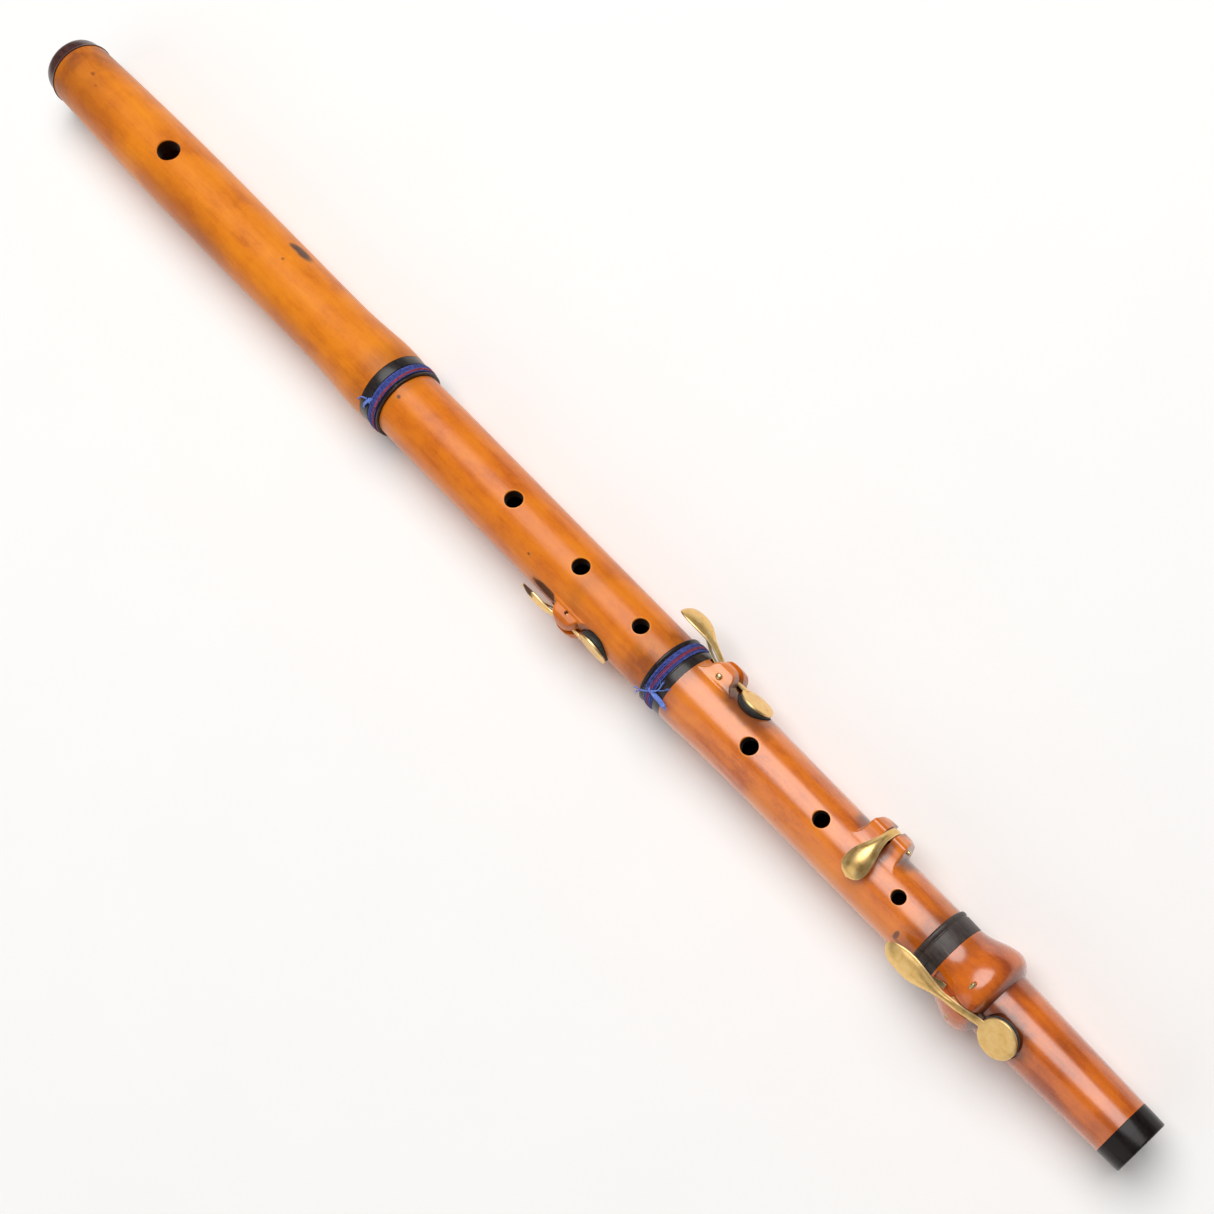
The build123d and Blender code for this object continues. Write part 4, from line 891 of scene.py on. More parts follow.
pV = np.concatenate([np.stack([np.full(20, X(FX) + sx), F_PIN_Y + 0.82 * np.cos(a20), F_PIN_Z + 0.82 * np.sin(a20)], -1) for sx in (-11, 11)])
pF = grid_faces(2, 20, close_n=False) + [tuple(range(19, -1, -1)), tuple(range(20, 40))]
cut(lower, [[disc_cutter(a, b, hole_prof(c, e)) for a, b, c, e in HOLES_LO]
            + [disc_cutter(GS["fx"], GS["phi"], [(7.0, GS["seat"]), (7.08, GS["seat"] + 0.2), (7.1, GS["seat"] + 8)], 72), f_seat],
            [box_cutter(GS["x"], GS["phi"], -9, 12, 1.8, 11.5, 19.5), (fV, fF, 0)],
            [disc_cutter(GS["fx"], GS["phi"], [(3.2, 3.0), (3.2, GS["seat"] - 0.25), (3.5, GS["seat"] + 0.15)]),
             disc_cutter(FX, F_PHI, [(2.9, 3.0), (2.9, F_SEAT - 0.25), (3.2, F_SEAT + 0.15)]),
             pin_cutter(GS, -10, 10), (pV, pF, 0)]])
stand_for(lower, "lower_middle", "lower_middle_joint")

# foot joint
FOOT_A = [(445, 12.35), (447.4, 12.72), (450.2, 13.55), (453.4, 14.85), (456.4, 15.75), (458.6, 16.00), (460.8, 15.55),
          (462.6, 14.35), (463.7, 12.95), (464.3, 12.20)]
FOOT_B = [(464.42, 11.86), (474, 11.52), (483.5, 11.20), (500.5, 10.70), (515.1, 10.27)]


def foot_base(xs):
    a = spline([(X(p), q) for p, q in FOOT_A], np.minimum(xs, X(464.3)))
    b = spline([(X(p), q) for p, q in FOOT_B], np.maximum(xs, X(464.42)))
    return np.where(xs <= X(464.3), a, b)


foot = wood_mesh("foot_tube", m_foot, foot_base,
                 [(515.12, 10.20), (515.12, 8.60), (523.4, 8.60), (523.4, 6.2), (455.3, 6.2), (455.3, 9.0), (436.5, 9.0),
                  (436.5, 11.1), (445.0, 11.1), (444.98, 12.25)], [(445, 481)], [], [(-75, 0)], end_lead=(445.0, 515.1))
cut(foot, [[disc_cutter(EB["fx"], EB["phi"], [(7.3, EB["seat"]), (7.4, EB["seat"] + 0.2), (7.45, EB["seat"] + 4.6)], 72)],
           [box_cutter(EB["x"], EB["phi"], -11.2, 8.8, 1.8, 11.2, 19.2, False)],
           [disc_cutter(EB["fx"], EB["phi"], [(3.6, 3.0), (3.6, EB["seat"] - 0.25), (3.9, EB["seat"] + 0.15)]),
            pin_cutter(EB, -14, 14)]])
stand_for(foot, "foot", "foot_joint")


# ---------------------------------------------------------------------------
# horn pieces
# ---------------------------------------------------------------------------
def P_(pts):
    return [(X(a), b) for a, b in pts]


cap_prof = [(X(-83.50), 0.0), (X(-83.54), 4.0), (X(-83.54), 8.0), (X(-83.50), 10.2), (X(-83.36), 11.2), (X(-83.0), 12.2),
            (X(-82.3), 12.9), (X(-81.4), 13.25), (X(-79.8), 13.52), (X(-78.2), 13.68), (X(-76.95), 13.75), (X(-76.75), 14.00),
            (X(-76.4), 14.33), (X(-76.0), 14.42), (X(-75.72), 14.42), (X(-75.62), 14.30), (X(-75.6), 12.5), (X(-75.7), 12.36),
            (X(-79.15), 12.36), (X(-79.15), 0.0)]
cap = lathe("horn_end_cap", cap_prof, m_cap, 192, 32, solid=True)
stand_for(cap, "cap", "end_cap")


def chips(x, r, ph):
    """Chipped, worn lip of the first ring."""
    lip = np.clip((x - X(155.75)) / 0.5, 0, 1) * (r > 14.0)
    bite = np.zeros_like(r)
    for c, w, dep in ((12.0, 4.2, 0.62), (19.0, 3.0, 0.40), (5.0, 2.2, 0.30), (-20.0, 1.6, 0.16), (128.0, 3.0, 0.3), (-150.0, 2.0, 0.25)):
        d = (np.degrees(ph) - c + 180) % 360 - 180
        bite += dep * np.exp(-(d / w) ** 2)
    jag = 0.05 * np.sin(ph * 61) * np.sin(ph * 23 + 1.0)
    return x - lip * bite * 0.9, r - lip * (bite * 0.75 + np.abs(jag) * (bite > 0.1))


r1 = rounded(P_([(146.74, 15.44), (148.9, 15.34), (151.1, 15.28), (151.3, 14.80), (155.7, 14.72), (155.9, 14.98), (156.25, 15.12),
                 (156.75, 15.24), (157.0, 15.14), (157.0, 13.83), (146.74, 13.83)]), 0.14, 3)
ring1 = lathe("head_ring_horn", r1, m_ring, 360, 30, perturb=chips)
stand_for(ring1, "head", "head_socket_ring")

r2 = rounded(P_([(307.2, 12.6), (307.2, 13.75), (307.45, 14.12), (308.05, 14.2), (308.6, 13.92), (309.0, 13.45), (313.9, 13.35),
                 (314.1, 13.83), (317.38, 13.74), (317.38, 12.43), (307.2, 12.43)]), 0.14, 3)
ring2 = lathe("lower_ring_horn", r2, m_ring, 224, 30)
stand_for(ring2, "lower_middle", "lower_socket_ring")

r3 = rounded(P_([(436.5, 11.3), (436.5, 12.25), (436.85, 12.70), (437.5, 12.80), (438.1, 12.62), (438.4, 12.25), (438.8, 12.28),
                 (439.1, 12.58), (441.0, 12.52), (444.96, 12.38), (444.96, 11.13), (436.5, 11.13)]), 0.16, 3)
ring3 = lathe("foot_ring_horn", r3, m_ring_worn, 224, 30)
cut(ring3, [[box_cutter(EB["x"], EB["phi"], -15.5, -10.5, 1.8, 11.95, 15.0, False)]])
stand_for(ring3, "foot", "foot_socket_ring")

r4 = rounded(P_([(515.14, 10.28), (519, 10.20), (523.05, 10.06), (523.4, 9.72), (523.4, 8.62), (515.14, 8.62)]), 0.18, 4)
ferr = lathe("foot_ferrule_horn", r4, m_ferrule, 224, 30)
stand_for(ferr, "foot", "foot_end_ferrule")

# cork stopper with softened, slightly uneven ends
ck = rounded([(X(-34.5), 0), (X(-34.5), 9.0), (X(-34.0), 9.44), (X(-18.0), 9.44), (X(-17.5), 9.0), (X(-17.5), 0)], 0.5, 4, closed=False)
stopper = lathe("cork_stopper_grained", ck, m_cork, 96, 35, solid=True,
                perturb=lambda x, r, ph: (x + 0.06 * np.sin(ph * 3 + r), r - 0.03 * (1 + np.sin(ph * 7 + x * 1.9))))
stand_for(stopper, "stopper", "stopper_cork")


# ---------------------------------------------------------------------------
# wound thread: tenon lappings and the repair bindings
# ---------------------------------------------------------------------------
def lapping(name, d0, d1, r_out, r_in, body, node):
    """Tight winding of waxed thread, each turn a rounded rib."""
    pitch = 0.40
    n = int((d1 - d0) / pitch)
    pts = []
    for i in range(n):
        for t in (0.04, 0.25, 0.5, 0.75, 0.96):
            pts.append((X(d0) + (i + t) * (d1 - d0) / n, r_out - 0.10 + 0.10 * math.sin(math.pi * t) ** 0.6))
    pts += [(X(d1), r_in), (X(d0), r_in)]
    ob = lathe(name, pts, m_lap, 96, 80, perturb=lambda x, r, ph: (x + (r > r_in + 0.1) * 0.10 * np.sin(ph), r))
    return stand_for(ob, body, node)


lapping("head_tenon_winding", 134.75, 153.25, 12.25, 11.56, "head_tenon_sleeve", "head_tenon_lapping")
lapping("middle_tenon_winding", 308.75, 324.25, 10.85, 10.21, "middle_tenon_sleeve", "middle_tenon_lapping")
lapping("foot_tenon_winding", 436.75, 452.25, 8.95, 8.41, "foot_tenon_sleeve", "foot_tenon_lapping")


def helix(x_of, r_of, a0, a1, per=90):
    n = int(abs(a1 - a0) / 360 * per) + 2
    a = np.linspace(a0, a1, n)
    f = (a - a0) / (a1 - a0)
    x, r = x_of(f, a), r_of(f, a)
    ar = np.radians(a)
    return np.stack([x, r * np.sin(ar), r * np.cos(ar)], -1)


def two_ply(path, ply_r, twist_mm, mat, sides=7):
    """Two plies twisted round one another along a path."""
    p, t, u, w = frames(path)
    s = np.concatenate([[0], np.cumsum(np.linalg.norm(np.diff(p, axis=0), axis=1))])
    out = []
    for k in (0, math.pi):
        a = (s / twist_mm * 2 * math.pi + k)[:, None]
        q = p + ply_r * 0.82 * (np.cos(a) * u + np.sin(a) * w)
        v, f = tube_data(q, ply_r, sides)
        out.append((v, f, mat))
    return out


def binding(name, turns, tails, body, node):
    """turns: (start d, end d, radius, radius end, start angle, turns, ply radius, material)."""
    parts = []
    for i, (da, db, ra, rb, a0, nt, pr, mt) in enumerate(turns):
        wob = RNG.uniform(0, 6.28, 4)
        amp = 0.10 if nt < 2.5 else 0.05
        xf = lambda f, a, da=da, db=db, wob=wob, amp=amp: X(da) + (db - da) * f + amp * (
            np.sin(np.radians(a) + wob[0]) + 0.5 * np.sin(np.radians(a) * 2.3 + wob[1]))
        rf = lambda f, a, ra=ra, rb=rb, wob=wob: ra + (rb - ra) * f + 0.03 * np.sin(np.radians(a) * 3.1 + wob[2])
        parts += two_ply(helix(xf, rf, a0, a0 + 360 * nt), pr, 1.5, mt)
    for path, r, mt, flat in tails:
        pp = np.array([polar(*q) for q in path])
        # smooth the listed route
        tt = np.linspace(0, 1, len(pp))
        ts = np.linspace(0, 1, max(12, len(pp) * 5))
        pp = np.stack([spline(list(zip(tt, pp[:, k])), ts) for k in range(3)], -1)
        rr = r * np.linspace(1.0, 1.0, len(pp))
        v, f = tube_data(pp, rr, 8, flat)
        parts.append((v, f, mt))
        # a few loose fibres fan out of the cut end
        e, dirn = pp[-1], pp[-1] - pp[-3]
        dirn /= np.linalg.norm(dirn)
        for _ in range(7):
            j = RNG.normal(0, 0.42, 3)
            L = RNG.uniform(0.7, 1.7)
            q = np.array([e - dirn * 0.5 + j * 0.25, e + dirn * L * 0.5 + j * 0.55, e + dirn * L + j * 1.15])
            v, f = tube_data(q, [0.09, 0.08, 0.035], 5)
            parts.append((v, f, mt))
    V, F, I = join_data(parts)
    ob = make(name, V, F, [m_blue, m_navy, m_red, m_tail], index=I)
    fix_normals(ob)
    return stand_for(ob, body, node)


B0, B1, B2, B3 = 0, 1, 2, 3
binding("head_ring_binding_thread",
        [(151.60, 155.30, 15.12, 15.04, -40, 6.0, 0.175, B0),
         (151.75, 155.40, 15.12, 15.04, 140, 6.0, 0.165, B0),
         (152.10, 154.60, 15.42, 15.38, -30, 4.0, 0.170, B0),
         (154.3, 155.2, 15.40, 15.34, -60, 2.0, 0.170, B2),
         (153.0, 154.2, 15.46, 15.44, 40, 1.4, 0.150, B1),
         (152.6, 153.4, 15.54, 15.52, -35, 1.1, 0.120, B0)],
        [([(152.2, -31, 15.35), (151.4, -36, 15.85), (149.4, -37.8, 16.05), (147.6, -40.0, 16.1), (146.4, -44.5, 15.95), (145.8, -48.5, 15.75)], 0.26, B3, 1.0),
         ([(151.9, -33, 15.45), (150.8, -39, 15.95), (149.9, -46, 16.0), (149.7, -51.5, 15.85)], 0.42, B3, 1.9),
         ([(150.6, -34.5, 15.6), (151.4, -36, 16.2), (152.0, -38.5, 15.7), (151.1, -40.5, 15.6), (150.4, -37.5, 16.0)], 0.27, B3, 1.0)],
        "head", "head_thread_binding")
binding("lower_ring_binding_thread",
        [(309.30, 313.35, 13.70, 13.64, -45, 6.5, 0.170, B0),
         (309.45, 313.50, 13.70, 13.64, 135, 6.5, 0.160, B0),
         (309.8, 312.8, 13.98, 13.96, -40, 4.0, 0.165, B0),
         (311.3, 312.5, 14.16, 14.12, -70, 2.0, 0.150, B2),
         (310.9, 312.0, 14.10, 14.10, 0, 1.1, 0.120, B1),
         (311.6, 310.0, 14.14, 14.12, 60, 1.3, 0.140, B0)],
        [([(312.2, -41, 14.0), (311.8, -43.5, 14.7), (310.1, -49, 15.0), (308.2, -56.5, 15.0), (307.1, -64, 14.9)], 0.22, B3, 1.0),
         ([(311.9, -43, 14.5), (310.4, -47, 15.1), (308.9, -51, 15.25), (307.4, -54, 15.2)], 0.18, B3, 1.0),
         ([(312.0, -43, 14.4), (313.2, -38.5, 14.95), (314.5, -32, 15.0), (314.7, -25.5, 14.9), (314.5, -22.5, 14.8)], 0.22, B3, 1.0),
         ([(312.6, -40, 14.5), (314.3, -33, 14.8), (315.9, -28, 14.7), (316.6, -24, 14.5)], 0.17, B3, 1.0),
         ([(312.8, -41, 14.3), (314.4, -41.2, 14.85), (316.0, -42, 14.75), (317.8, -43.4, 14.55), (319.6, -45.3, 14.6)], 0.36, B3, 2.5),
         ([(311.2, -40, 14.3), (311.9, -42, 15.0), (312.6, -44.5, 14.6), (312.2, -46, 14.3), (311.4, -43, 14.8)], 0.25, B3, 1.0)],
        "lower_middle", "lower_thread_binding")


# ---------------------------------------------------------------------------
# keys: forged strips with domed touches, round flaps, pivot barrels
# ---------------------------------------------------------------------------
def local(key):
    f = math.radians(key["phi"])
    s, c = math.sin(f), math.cos(f)
    return lambda u, v, w: np.stack([X(key["x"]) + u, v * c + w * s, -v * s + w * c], -1)


def resample(pts, n):
    p = np.asarray(pts, float)
    L = np.concatenate([[0], np.cumsum(np.hypot(*np.diff(p, axis=0).T))])
    s = np.linspace(0, L[-1], n)
    return np.stack([spline(list(zip(L, p[:, 0])), s), spline(list(zip(L, p[:, 1])), s)], -1), s / L[-1]


def loft(line, half, dome, thick, to3, flip=1.0, ns=90, nc=30):
    """line: outer centre line in a plane; half, dome, thick: functions of the distance 0..1 along it."""
    c, s = resample(line, ns)
    t = np.gradient(c, axis=0)
    t /= np.linalg.norm(t, axis=1)[:, None]
    nrm = np.stack([-t[:, 1], t[:, 0]], -1) * flip
    rings = []
    for i in range(ns):
        hw, dm, th = half(s[i]), dome(s[i]), thick(s[i])
        er = min(th * 0.45, hw * 0.45)
        prof = []
        for k in range(nc):
            q = -1 + 2 * k / (nc - 1)
            e = (hw - er)
            v = e * q
            prof.append((v, dm(q) if callable(dm) else dm * (1 - q * q) - dm * 0.35))
        top = prof
        right = [(hw - er + er * math.sin(a), top[-1][1] - er + er * math.cos(a)) for a in np.linspace(0.35, math.pi - 0.35, 4)]
        left = [(-v, o) for v, o in reversed(right)]
        bot = [((hw - er) * q, (top[-1][1] - er * 2) + (top[nc // 2][1] - top[-1][1]) * 0.75 * (1 - q * q) - (th - er * 2) * (1 - abs(q) ** 3))
               for q in np.linspace(1, -1, 10)]
        ring = top + right + bot + left
        o = np.array(ring)
        pt = c[i][None, :] + nrm[i][None, :] * o[:, 1:2]
        rings.append(to3(pt[:, 0], o[:, 0], pt[:, 1]))
    n = len(rings[0])
    V = np.concatenate(rings)
    F = grid_faces(ns, n, close_n=False)
    a, b = len(V), len(V) + 1
    V = np.vstack([V, rings[0].mean(0)[None], rings[-1].mean(0)[None]])
    F += [(a, (j + 1) % n, j) for j in range(n)] + [(b, (ns - 1) * n + j, (ns - 1) * n + (j + 1) % n) for j in range(n)]
    return V, F, 0


def pw(*pts):
    xs, ys = zip(*pts)
    sp = list(zip(xs, ys))

    def f(s):
        # monotone, smooth between the stations
        k = min(max(np.searchsorted(xs, s) - 1, 0), len(xs) - 2)
        t = (s - xs[k]) / (xs[k + 1] - xs[k])
        t = min(max(t, 0), 1)
        t = t * t * (3 - 2 * t)
        return ys[k] * (1 - t) + ys[k + 1] * t
    return f


def oval(tip, half, neck, waist, neck2=None):
    """Half-width along a strip: round tip, full leaf, narrow shank."""
    def f(s):
        if s < waist:
            t = s / waist
            full = math.sin(math.pi * (t ** 0.62 * 0.985 + 0.015)) ** 0.60
            return max(half * full, neck * min(1, t * 1.3) if t > 0.5 else 0, tip if s == 0 else 0.25)
        return neck
    return f


def teardrop(half, neck, peak, end):
    """Rounded tip, widest at peak, then a long smooth run down to the neck at end."""
    def f(s):
        if s <= peak:
            t = s / peak
            return max(0.35, half * math.sqrt(max(0.0, 1 - (1 - t) ** 2.2)))
        t = min(1.0, (s - peak) / (end - peak))
        t = t * t * (3 - 2 * t)
        return half + (neck - half) * t
    return f


def flap(key_like, seat, rad, to3, u0, crown=0.28, th=0.9):
    """Round flap: a thin disc with an eased edge and a faint crown."""
    prof = [(0.0, seat + 2.9), (rad - 0.12, seat + 2.9), (rad, seat + 3.02), (rad, seat + 2.9 + th - 0.30),
            (rad - 0.10, seat + 2.9 + th - 0.10), (rad - 0.30, seat + 2.9 + th), (rad * 0.75, seat + 2.9 + th + crown * 0.4),
            (rad * 0.4, seat + 2.9 + th + crown * 0.85), (0.0, seat + 2.9 + th + crown)]
    n = 88
    a = np.linspace(0, 2 * math.pi, n, endpoint=False)
    V, idx = [], []
    for r, h in prof[1:-1]:
        V.append(to3(u0 + r * np.cos(a), r * np.sin(a), np.full(n, h)))
    V = np.concatenate(V)
    F = grid_faces(len(prof) - 2, n, close_n=False)
    lo, hi = len(V), len(V) + 1
    z0 = np.array([0.0])
    V = np.vstack([V, to3(z0 + u0, z0, z0 + prof[0][1]), to3(z0 + u0, z0, z0 + prof[-1][1])])
    last = (len(prof) - 3) * n
    F += [(lo, (j + 1) % n, j) for j in range(n)] + [(hi, last + j, last + (j + 1) % n) for j in range(n)]
    return V, F, 0


def barrel(to3, r, rad, half, hole=0.85, n=40):
    """Pivot barrel: a short tube across the lever."""
    a = np.linspace(0, 2 * math.pi, n, endpoint=False)
    prof = [(rad - 0.15, -half), (rad, -half + 0.15), (rad, half - 0.15), (rad - 0.15, half), (hole, half), (hole, -half)]
    V = np.concatenate([to3(q * np.cos(a), np.full(n, v), r + q * np.sin(a)) for q, v in prof])
    return V, grid_faces(len(prof), n), 0


def web(to3, pts, half):
    """Flat cheek that joins barrel and strip."""
    p = np.array(pts)
    n = len(p)
    V = np.concatenate([to3(p[:, 0], np.full(n, v), p[:, 1]) for v in (-half, half)])
    F = grid_faces(2, n, close_n=False) + [tuple(range(n - 1, -1, -1)), tuple(range(n, 2 * n))]
    return V, F, 0


def build_key(name, parts, mat, body, node):
    V, F, I = join_data(parts)
    ob = make(name, V, F, mat)
    fix_normals(ob)
    sharpen(ob.data, 42)
    return stand_for(ob, body, node)


to_bb, to_gs, to_eb = local(BB), local(GS), local(EB)


def to_gs_turned(u, v, w):
    """The touch is bent about its own length, upwards at its near edge."""
    u, v, w = (np.asarray(q, float) for q in (u, v, w))
    t = np.clip((-9.0 - u) / 8.0, 0, 1)
    a = np.radians(13.0) * t * t * (3 - 2 * t)
    return to_gs(u, v * np.cos(a), w + v * np.sin(a) * 1.0)




def to_f(y, v, z):
    return np.stack([X(FX) + v, y, z], -1)


def ridge(h, sharp=1.0):
    return h


# thumb key
build_key("thumb_key_brass", [
    loft([(-22.6, 16.6), (-19.5, 17.05), (-14, 17.2), (-9, 16.95), (-5, 16.15), (-2.2, 15.45), (2.2, 15.15), (5.5, 15.2), (9.0, 15.25)],
         teardrop(4.6, 1.5, 0.26, 0.60), pw((0, 0.15), (0.25, 0.9), (0.55, 0.4), (0.7, 0.12), (1, 0.1)),
         pw((0, 0.8), (0.3, 1.05), (0.6, 1.3), (1, 1.05)), to_bb),
    barrel(to_bb, BB["r"], 1.75, 1.5), web(to_bb, [(-1.6, 13.4), (1.6, 13.4), (2.2, 14.9), (-2.4, 15.0)], 1.48),
    flap(BB, BB["seat"], BB["fr"], to_bb, BB["fx"] - BB["x"], 0.1)], m_brass_bb, "b_flat_key", "b_flat_lever")

# G sharp key
build_key("g_sharp_key_brass", [
    loft([(-28.5, 18.9), (-28.1, 19.5), (-26.9, 20.4), (-25.2, 20.8), (-21, 21.1), (-17, 20.6), (-12, 19.1), (-7, 17.2), (-2.5, 15.55),
          (2.2, 14.85), (5.5, 14.80), (9.0, 14.85)],
         teardrop(4.85, 1.5, 0.20, 0.58), pw((0, 0.15), (0.2, 0.95), (0.45, 0.75), (0.62, 0.4), (0.75, 0.12), (1, 0.1)),
         pw((0, 0.9), (0.3, 1.0), (0.6, 1.3), (1, 1.05)), to_gs_turned),
    barrel(to_gs, GS["r"], 1.75, 1.5), web(to_gs, [(-1.6, 13.6), (1.6, 13.6), (2.4, 14.6), (-3.2, 15.4)], 1.48),
    flap(GS, GS["seat"], GS["fr"], to_gs, GS["fx"] - GS["x"])], m_brass_gs, "g_sharp_key", "g_sharp_lever")

# E flat key: the touch has a crest along its middle
build_key("e_flat_key_brass", [
    loft([(-27.8, 19.1), (-26.4, 19.85), (-21, 20.35), (-15, 20.15), (-9, 19.25), (-5, 18.35), (-2.2, 17.65), (2.2, 16.45), (5.0, 15.35),
          (7.2, 14.45), (9.0, 13.95), (11.2, 13.62)],
         teardrop(4.6, 1.5, 0.25, 0.62), pw((0, 0.15), (0.2, 1.35), (0.45, 1.15), (0.62, 0.5), (0.75, 0.12), (1, 0.08)),
         pw((0, 0.8), (0.3, 1.05), (0.6, 1.3), (1, 1.0)), to_eb),
    barrel(to_eb, EB["r"], 1.75, 1.5), web(to_eb, [(-1.75, 13.5), (1.75, 13.5), (2.3, 15.9), (-2.3, 17.0)], 1.48),
    flap(EB, EB["seat"], EB["fr"], to_eb, EB["fx"] - EB["x"])], m_brass_eb, "e_flat_key", "e_flat_lever")

# short F key: a full teardrop spoon over the top of the joint
F_OUT = [(-6.3, 13.4), (-5.1, 14.8), (-2.5, 16.0), (1.0, 16.8), (5.0, 16.85), (8.5, 15.85), (11.5, 14.05), (14.0, 11.55), (15.6, 9.0),
         (16.2, 6.5), (16.0, 3.6), (15.3, 1.0), (14.7, -0.9)]
fs_, fc_ = math.sin(math.radians(F_PHI)), math.cos(math.radians(F_PHI))


def to_fflap(u, v, w):
    # u along the lever's plane (tangent), v along the bore, w outwards
    return np.stack([X(FX) + v, w * fs_ + u * fc_, w * fc_ - u * fs_], -1)


build_key("short_f_key_brass", [
    loft(F_OUT, teardrop(4.7, 1.5, 0.17, 0.56), pw((0, 0.3), (0.15, 1.55), (0.34, 1.1), (0.52, 0.4), (0.68, 0.12), (1, 0.08)),
         pw((0, 0.9), (0.2, 1.3), (0.5, 1.45), (1, 1.2)), to_f, flip=1.0),
    barrel(lambda a, v, r: to_f(F_PIN_Y + a, v, F_PIN_Z - 0.0 + r), 0.0, 1.7, 1.5),
    web(to_f, [(12.2, 7.6), (13.2, 6.2), (15.3, 5.6), (15.2, 8.6), (13.6, 10.6)], 1.48),
    flap(None, F_SEAT, F_FR, to_fflap, 0.0)], m_brass_f, "short_f_key", "short_f_lever")


# ---------------------------------------------------------------------------
# pads: old kid leather, bulged and pressed, a little uneven
# ---------------------------------------------------------------------------
def pad(name, to3, u0, seat, rad, body, node, seed):
    rng = np.random.default_rng(seed)
    n = 72
    a = np.linspace(0, 2 * math.pi, n, endpoint=False)
    w1, w2 = rng.uniform(0, 6.28, 2)
    hs = [0.04, 0.10, 0.35, 0.8, 1.3, 1.8, 2.2, 2.55, 2.78, 2.86]
    bul = [-1.9, -1.35, -0.85, -0.38, -0.10, 0.03, 0.04, -0.06, -0.25, -0.7]
    V = []
    for h, b in zip(hs, bul):
        wr = 0.06 * np.sin(a * 5 + w1 + h) + 0.035 * np.sin(a * 11 + w2 - h * 2) + 0.03 * np.sin(a * 23 + w1)
        r = rad - 0.08 + b + wr * min(1, 1.4 - abs(h - 1.4))
        V.append(to3(u0 + r * np.cos(a), r * np.sin(a), np.full(n, seat + h)))
    V = np.concatenate(V)
    F = grid_faces(len(hs), n, close_n=False)
    lo, hi = len(V), len(V) + 1
    z0 = np.array([0.0])
    V = np.vstack([V, to3(z0 + u0, z0, z0 + seat + 0.04), to3(z0 + u0, z0, z0 + seat + 2.86)])
    last = (len(hs) - 1) * n
    F += [(lo, (j + 1) % n, j) for j in range(n)] + [(hi, last + j, last + (j + 1) % n) for j in range(n)]
    ob = make(name, V, F, m_pad)
    sub = ob.modifiers.new("smooth", "SUBSURF")
    sub.levels = sub.render_levels = 1
    fix_normals(ob)
    stand_for(ob, body, node)
    return ob


pad("thumb_key_pad_leather", to_bb, BB["fx"] - BB["x"], BB["seat"], BB["fr"], "b_flat_key", "b_flat_pad", 1)
pad("g_sharp_pad_leather", to_gs, GS["fx"] - GS["x"], GS["seat"], GS["fr"], "g_sharp_key", "g_sharp_pad", 2)
pad("e_flat_pad_leather", to_eb, EB["fx"] - EB["x"], EB["seat"], EB["fr"], "e_flat_key", "e_flat_pad", 3)
pad("short_f_pad_leather", to_fflap, 0.0, F_SEAT, F_FR, "short_f_key", "short_f_pad", 4)


# ---------------------------------------------------------------------------
# pins: turned wire, domed heads or chamfered ends
# ---------------------------------------------------------------------------
def pin(name, to3, r0, v0, v1, body, node, head=None, rad=0.78):
    """v0..v1 across the lever; a head is (v start, v end, radius)."""
    n = 36
    a = np.linspace(0, 2 * math.pi, n, endpoint=False)
    prof = [(v0, rad - 0.25), (v0 + 0.15, rad - 0.06), (v0 + 0.4, rad)]
    if head:
        h0, h1, hr = head
        prof += [(h0, rad), (h0 + 0.02, hr - 0.08), (h0 + 0.12, hr), (h0 + 0.35, hr), (h0 + 0.62, hr * 0.86), (h1 - 0.06, hr * 0.55), (h1, hr * 0.2)]
    else:
        prof += [(v1 - 0.4, rad), (v1 - 0.15, rad - 0.06), (v1, rad - 0.25)]
    V = np.concatenate([to3(q * np.cos(a), np.full(n, v), r0 + q * np.sin(a)) for v, q in prof])
    F = grid_faces(len(prof), n, close_n=False)
    F += [tuple(range(n - 1, -1, -1)), tuple(range((len(prof) - 1) * n, len(prof) * n))]
    ob = make(name, V, F, m_pin)
    fix_normals(ob)
    sharpen(ob.data, 50)
    return stand_for(ob, body, node)


pin("thumb_key_pin_wire", to_bb, BB["r"], -5.2, 5.2, "upper_middle", "b_flat_pin")
pin("g_sharp_pin_wire", lambda u, v, w: to_gs(u, -v, w), GS["r"], -6.2, 7.85, "lower_middle", "g_sharp_pin", head=(6.92, 7.88, 1.25))
pin("e_flat_pin_wire", lambda u, v, w: to_eb(u, v, w), EB["r"], -8.0, 9.3, "foot", "e_flat_pin")
pin("short_f_pin_wire", lambda a, v, r: to_f(F_PIN_Y + a, v, F_PIN_Z + r), 0.0, -7.0, 8.4, "lower_middle", "short_f_pin")
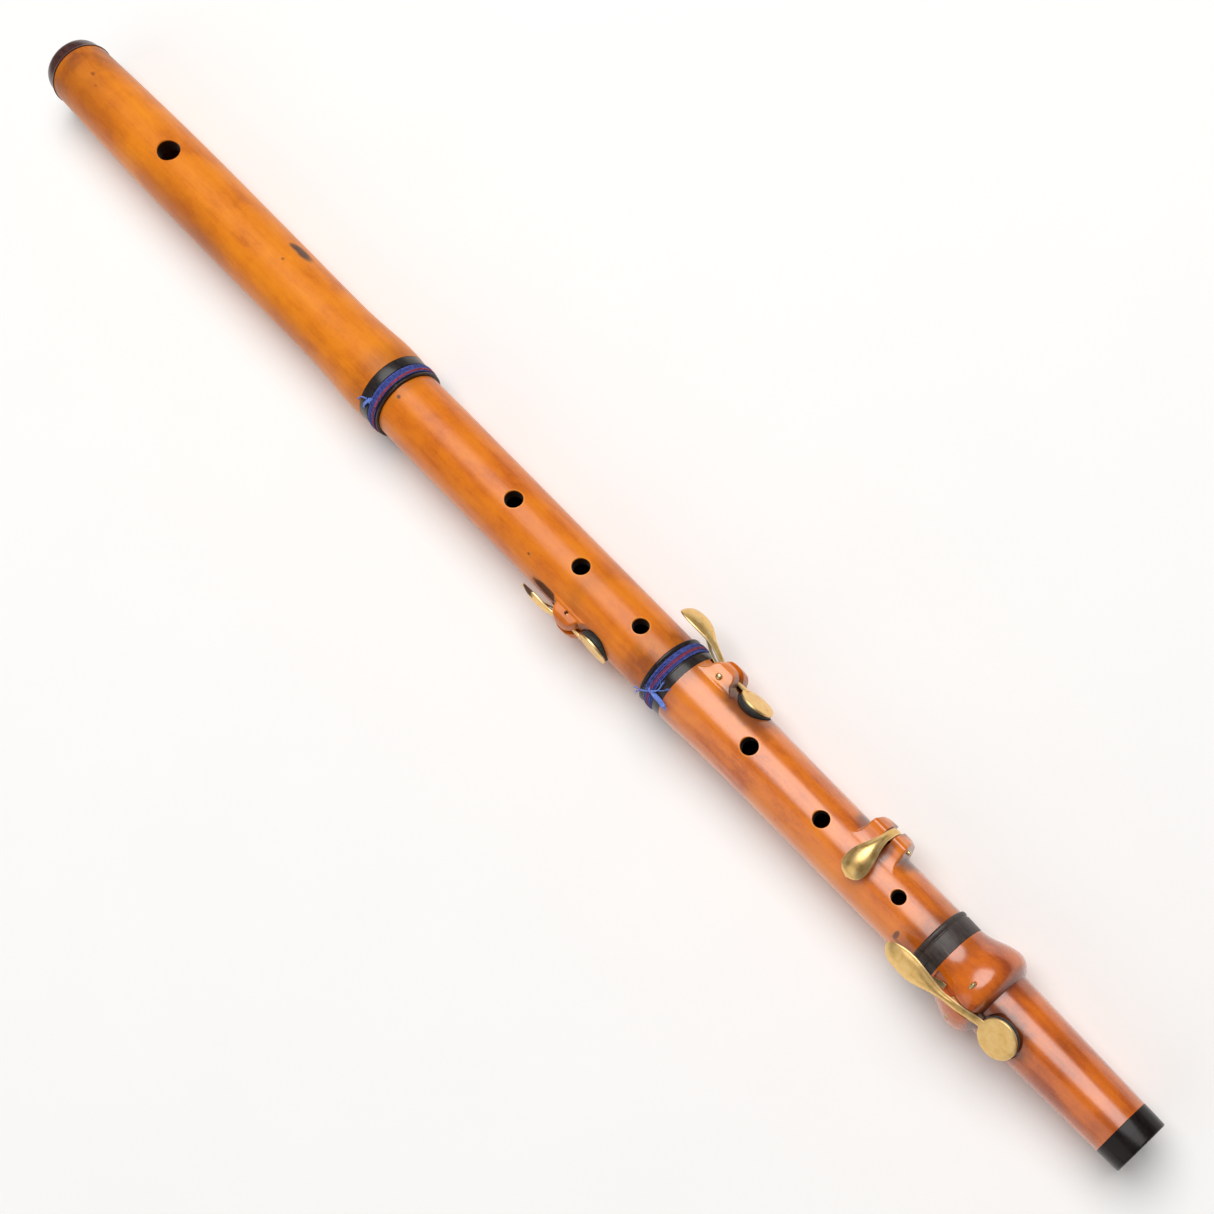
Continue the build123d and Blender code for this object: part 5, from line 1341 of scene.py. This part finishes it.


# ---------------------------------------------------------------------------
# leaf springs: thin tempered strips, built in their rest shape
# ---------------------------------------------------------------------------
def spring(name, pts, to3, node, flip=1.0):
    ob_parts = loft(pts, lambda s: 1.15 - 0.15 * s, lambda s: 0.03, lambda s: 0.34, to3, flip, ns=48, nc=8)
    ob = make(name, ob_parts[0], ob_parts[1], m_spring)
    fix_normals(ob)
    sharpen(ob.data, 50)
    p = np.array(pts)
    z0 = np.array([0.0])
    a = to3(z0 + p[1][0], z0, z0 + p[1][1])[0] * 0.001
    b = to3(z0 + p[-1][0], z0, z0 + p[-1][1])[0] * 0.001
    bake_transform(ob)
    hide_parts(node)
    return ob


spring("thumb_key_leaf_spring", [(-16.5, 15.90), (-12.5, 15.90), (-11.0, 15.5), (-8.6, 14.6), (-6.4, 14.0), (-4.6, 13.82)],
       to_bb, "b_flat_spring")
spring("g_sharp_leaf_spring", [(-21.5, 19.72), (-18.2, 19.36), (-15.5, 18.4), (-12.0, 16.5), (-9.0, 14.9), (-6.6, 14.15), (-5.2, 14.02)],
       to_gs, "g_sharp_spring")
spring("e_flat_leaf_spring", [(-19.5, 19.00), (-15.6, 18.84), (-13.4, 17.7), (-11.0, 15.9), (-9.0, 14.5), (-7.4, 13.9), (-6.2, 13.78)],
       to_eb, "e_flat_spring")
spring("short_f_leaf_spring", [(3.0, 15.38), (6.2, 14.95), (8.2, 13.85), (9.6, 12.15), (10.4, 10.55), (10.88, 9.36)],
       to_f, "short_f_spring")


# ---------------------------------------------------------------------------
# floor
# ---------------------------------------------------------------------------
def add_floor(z=-0.01602, half=4.0):
    me = bpy.data.meshes.new("floor_sweep")
    bm = bmesh.new()
    vs = [bm.verts.new((sx * half, sy * half, z)) for sx, sy in ((-1, -1), (1, -1), (1, 1), (-1, 1))]
    bm.faces.new(vs)
    bmesh.ops.subdivide_edges(bm, edges=bm.edges, cuts=3, use_grid_fill=True)
    bm.to_mesh(me)
    bm.free()
    me.materials.append(floor_mat())
    ob = bpy.data.objects.new("floor_sweep", me)
    scene.collection.objects.link(ob)


add_floor()
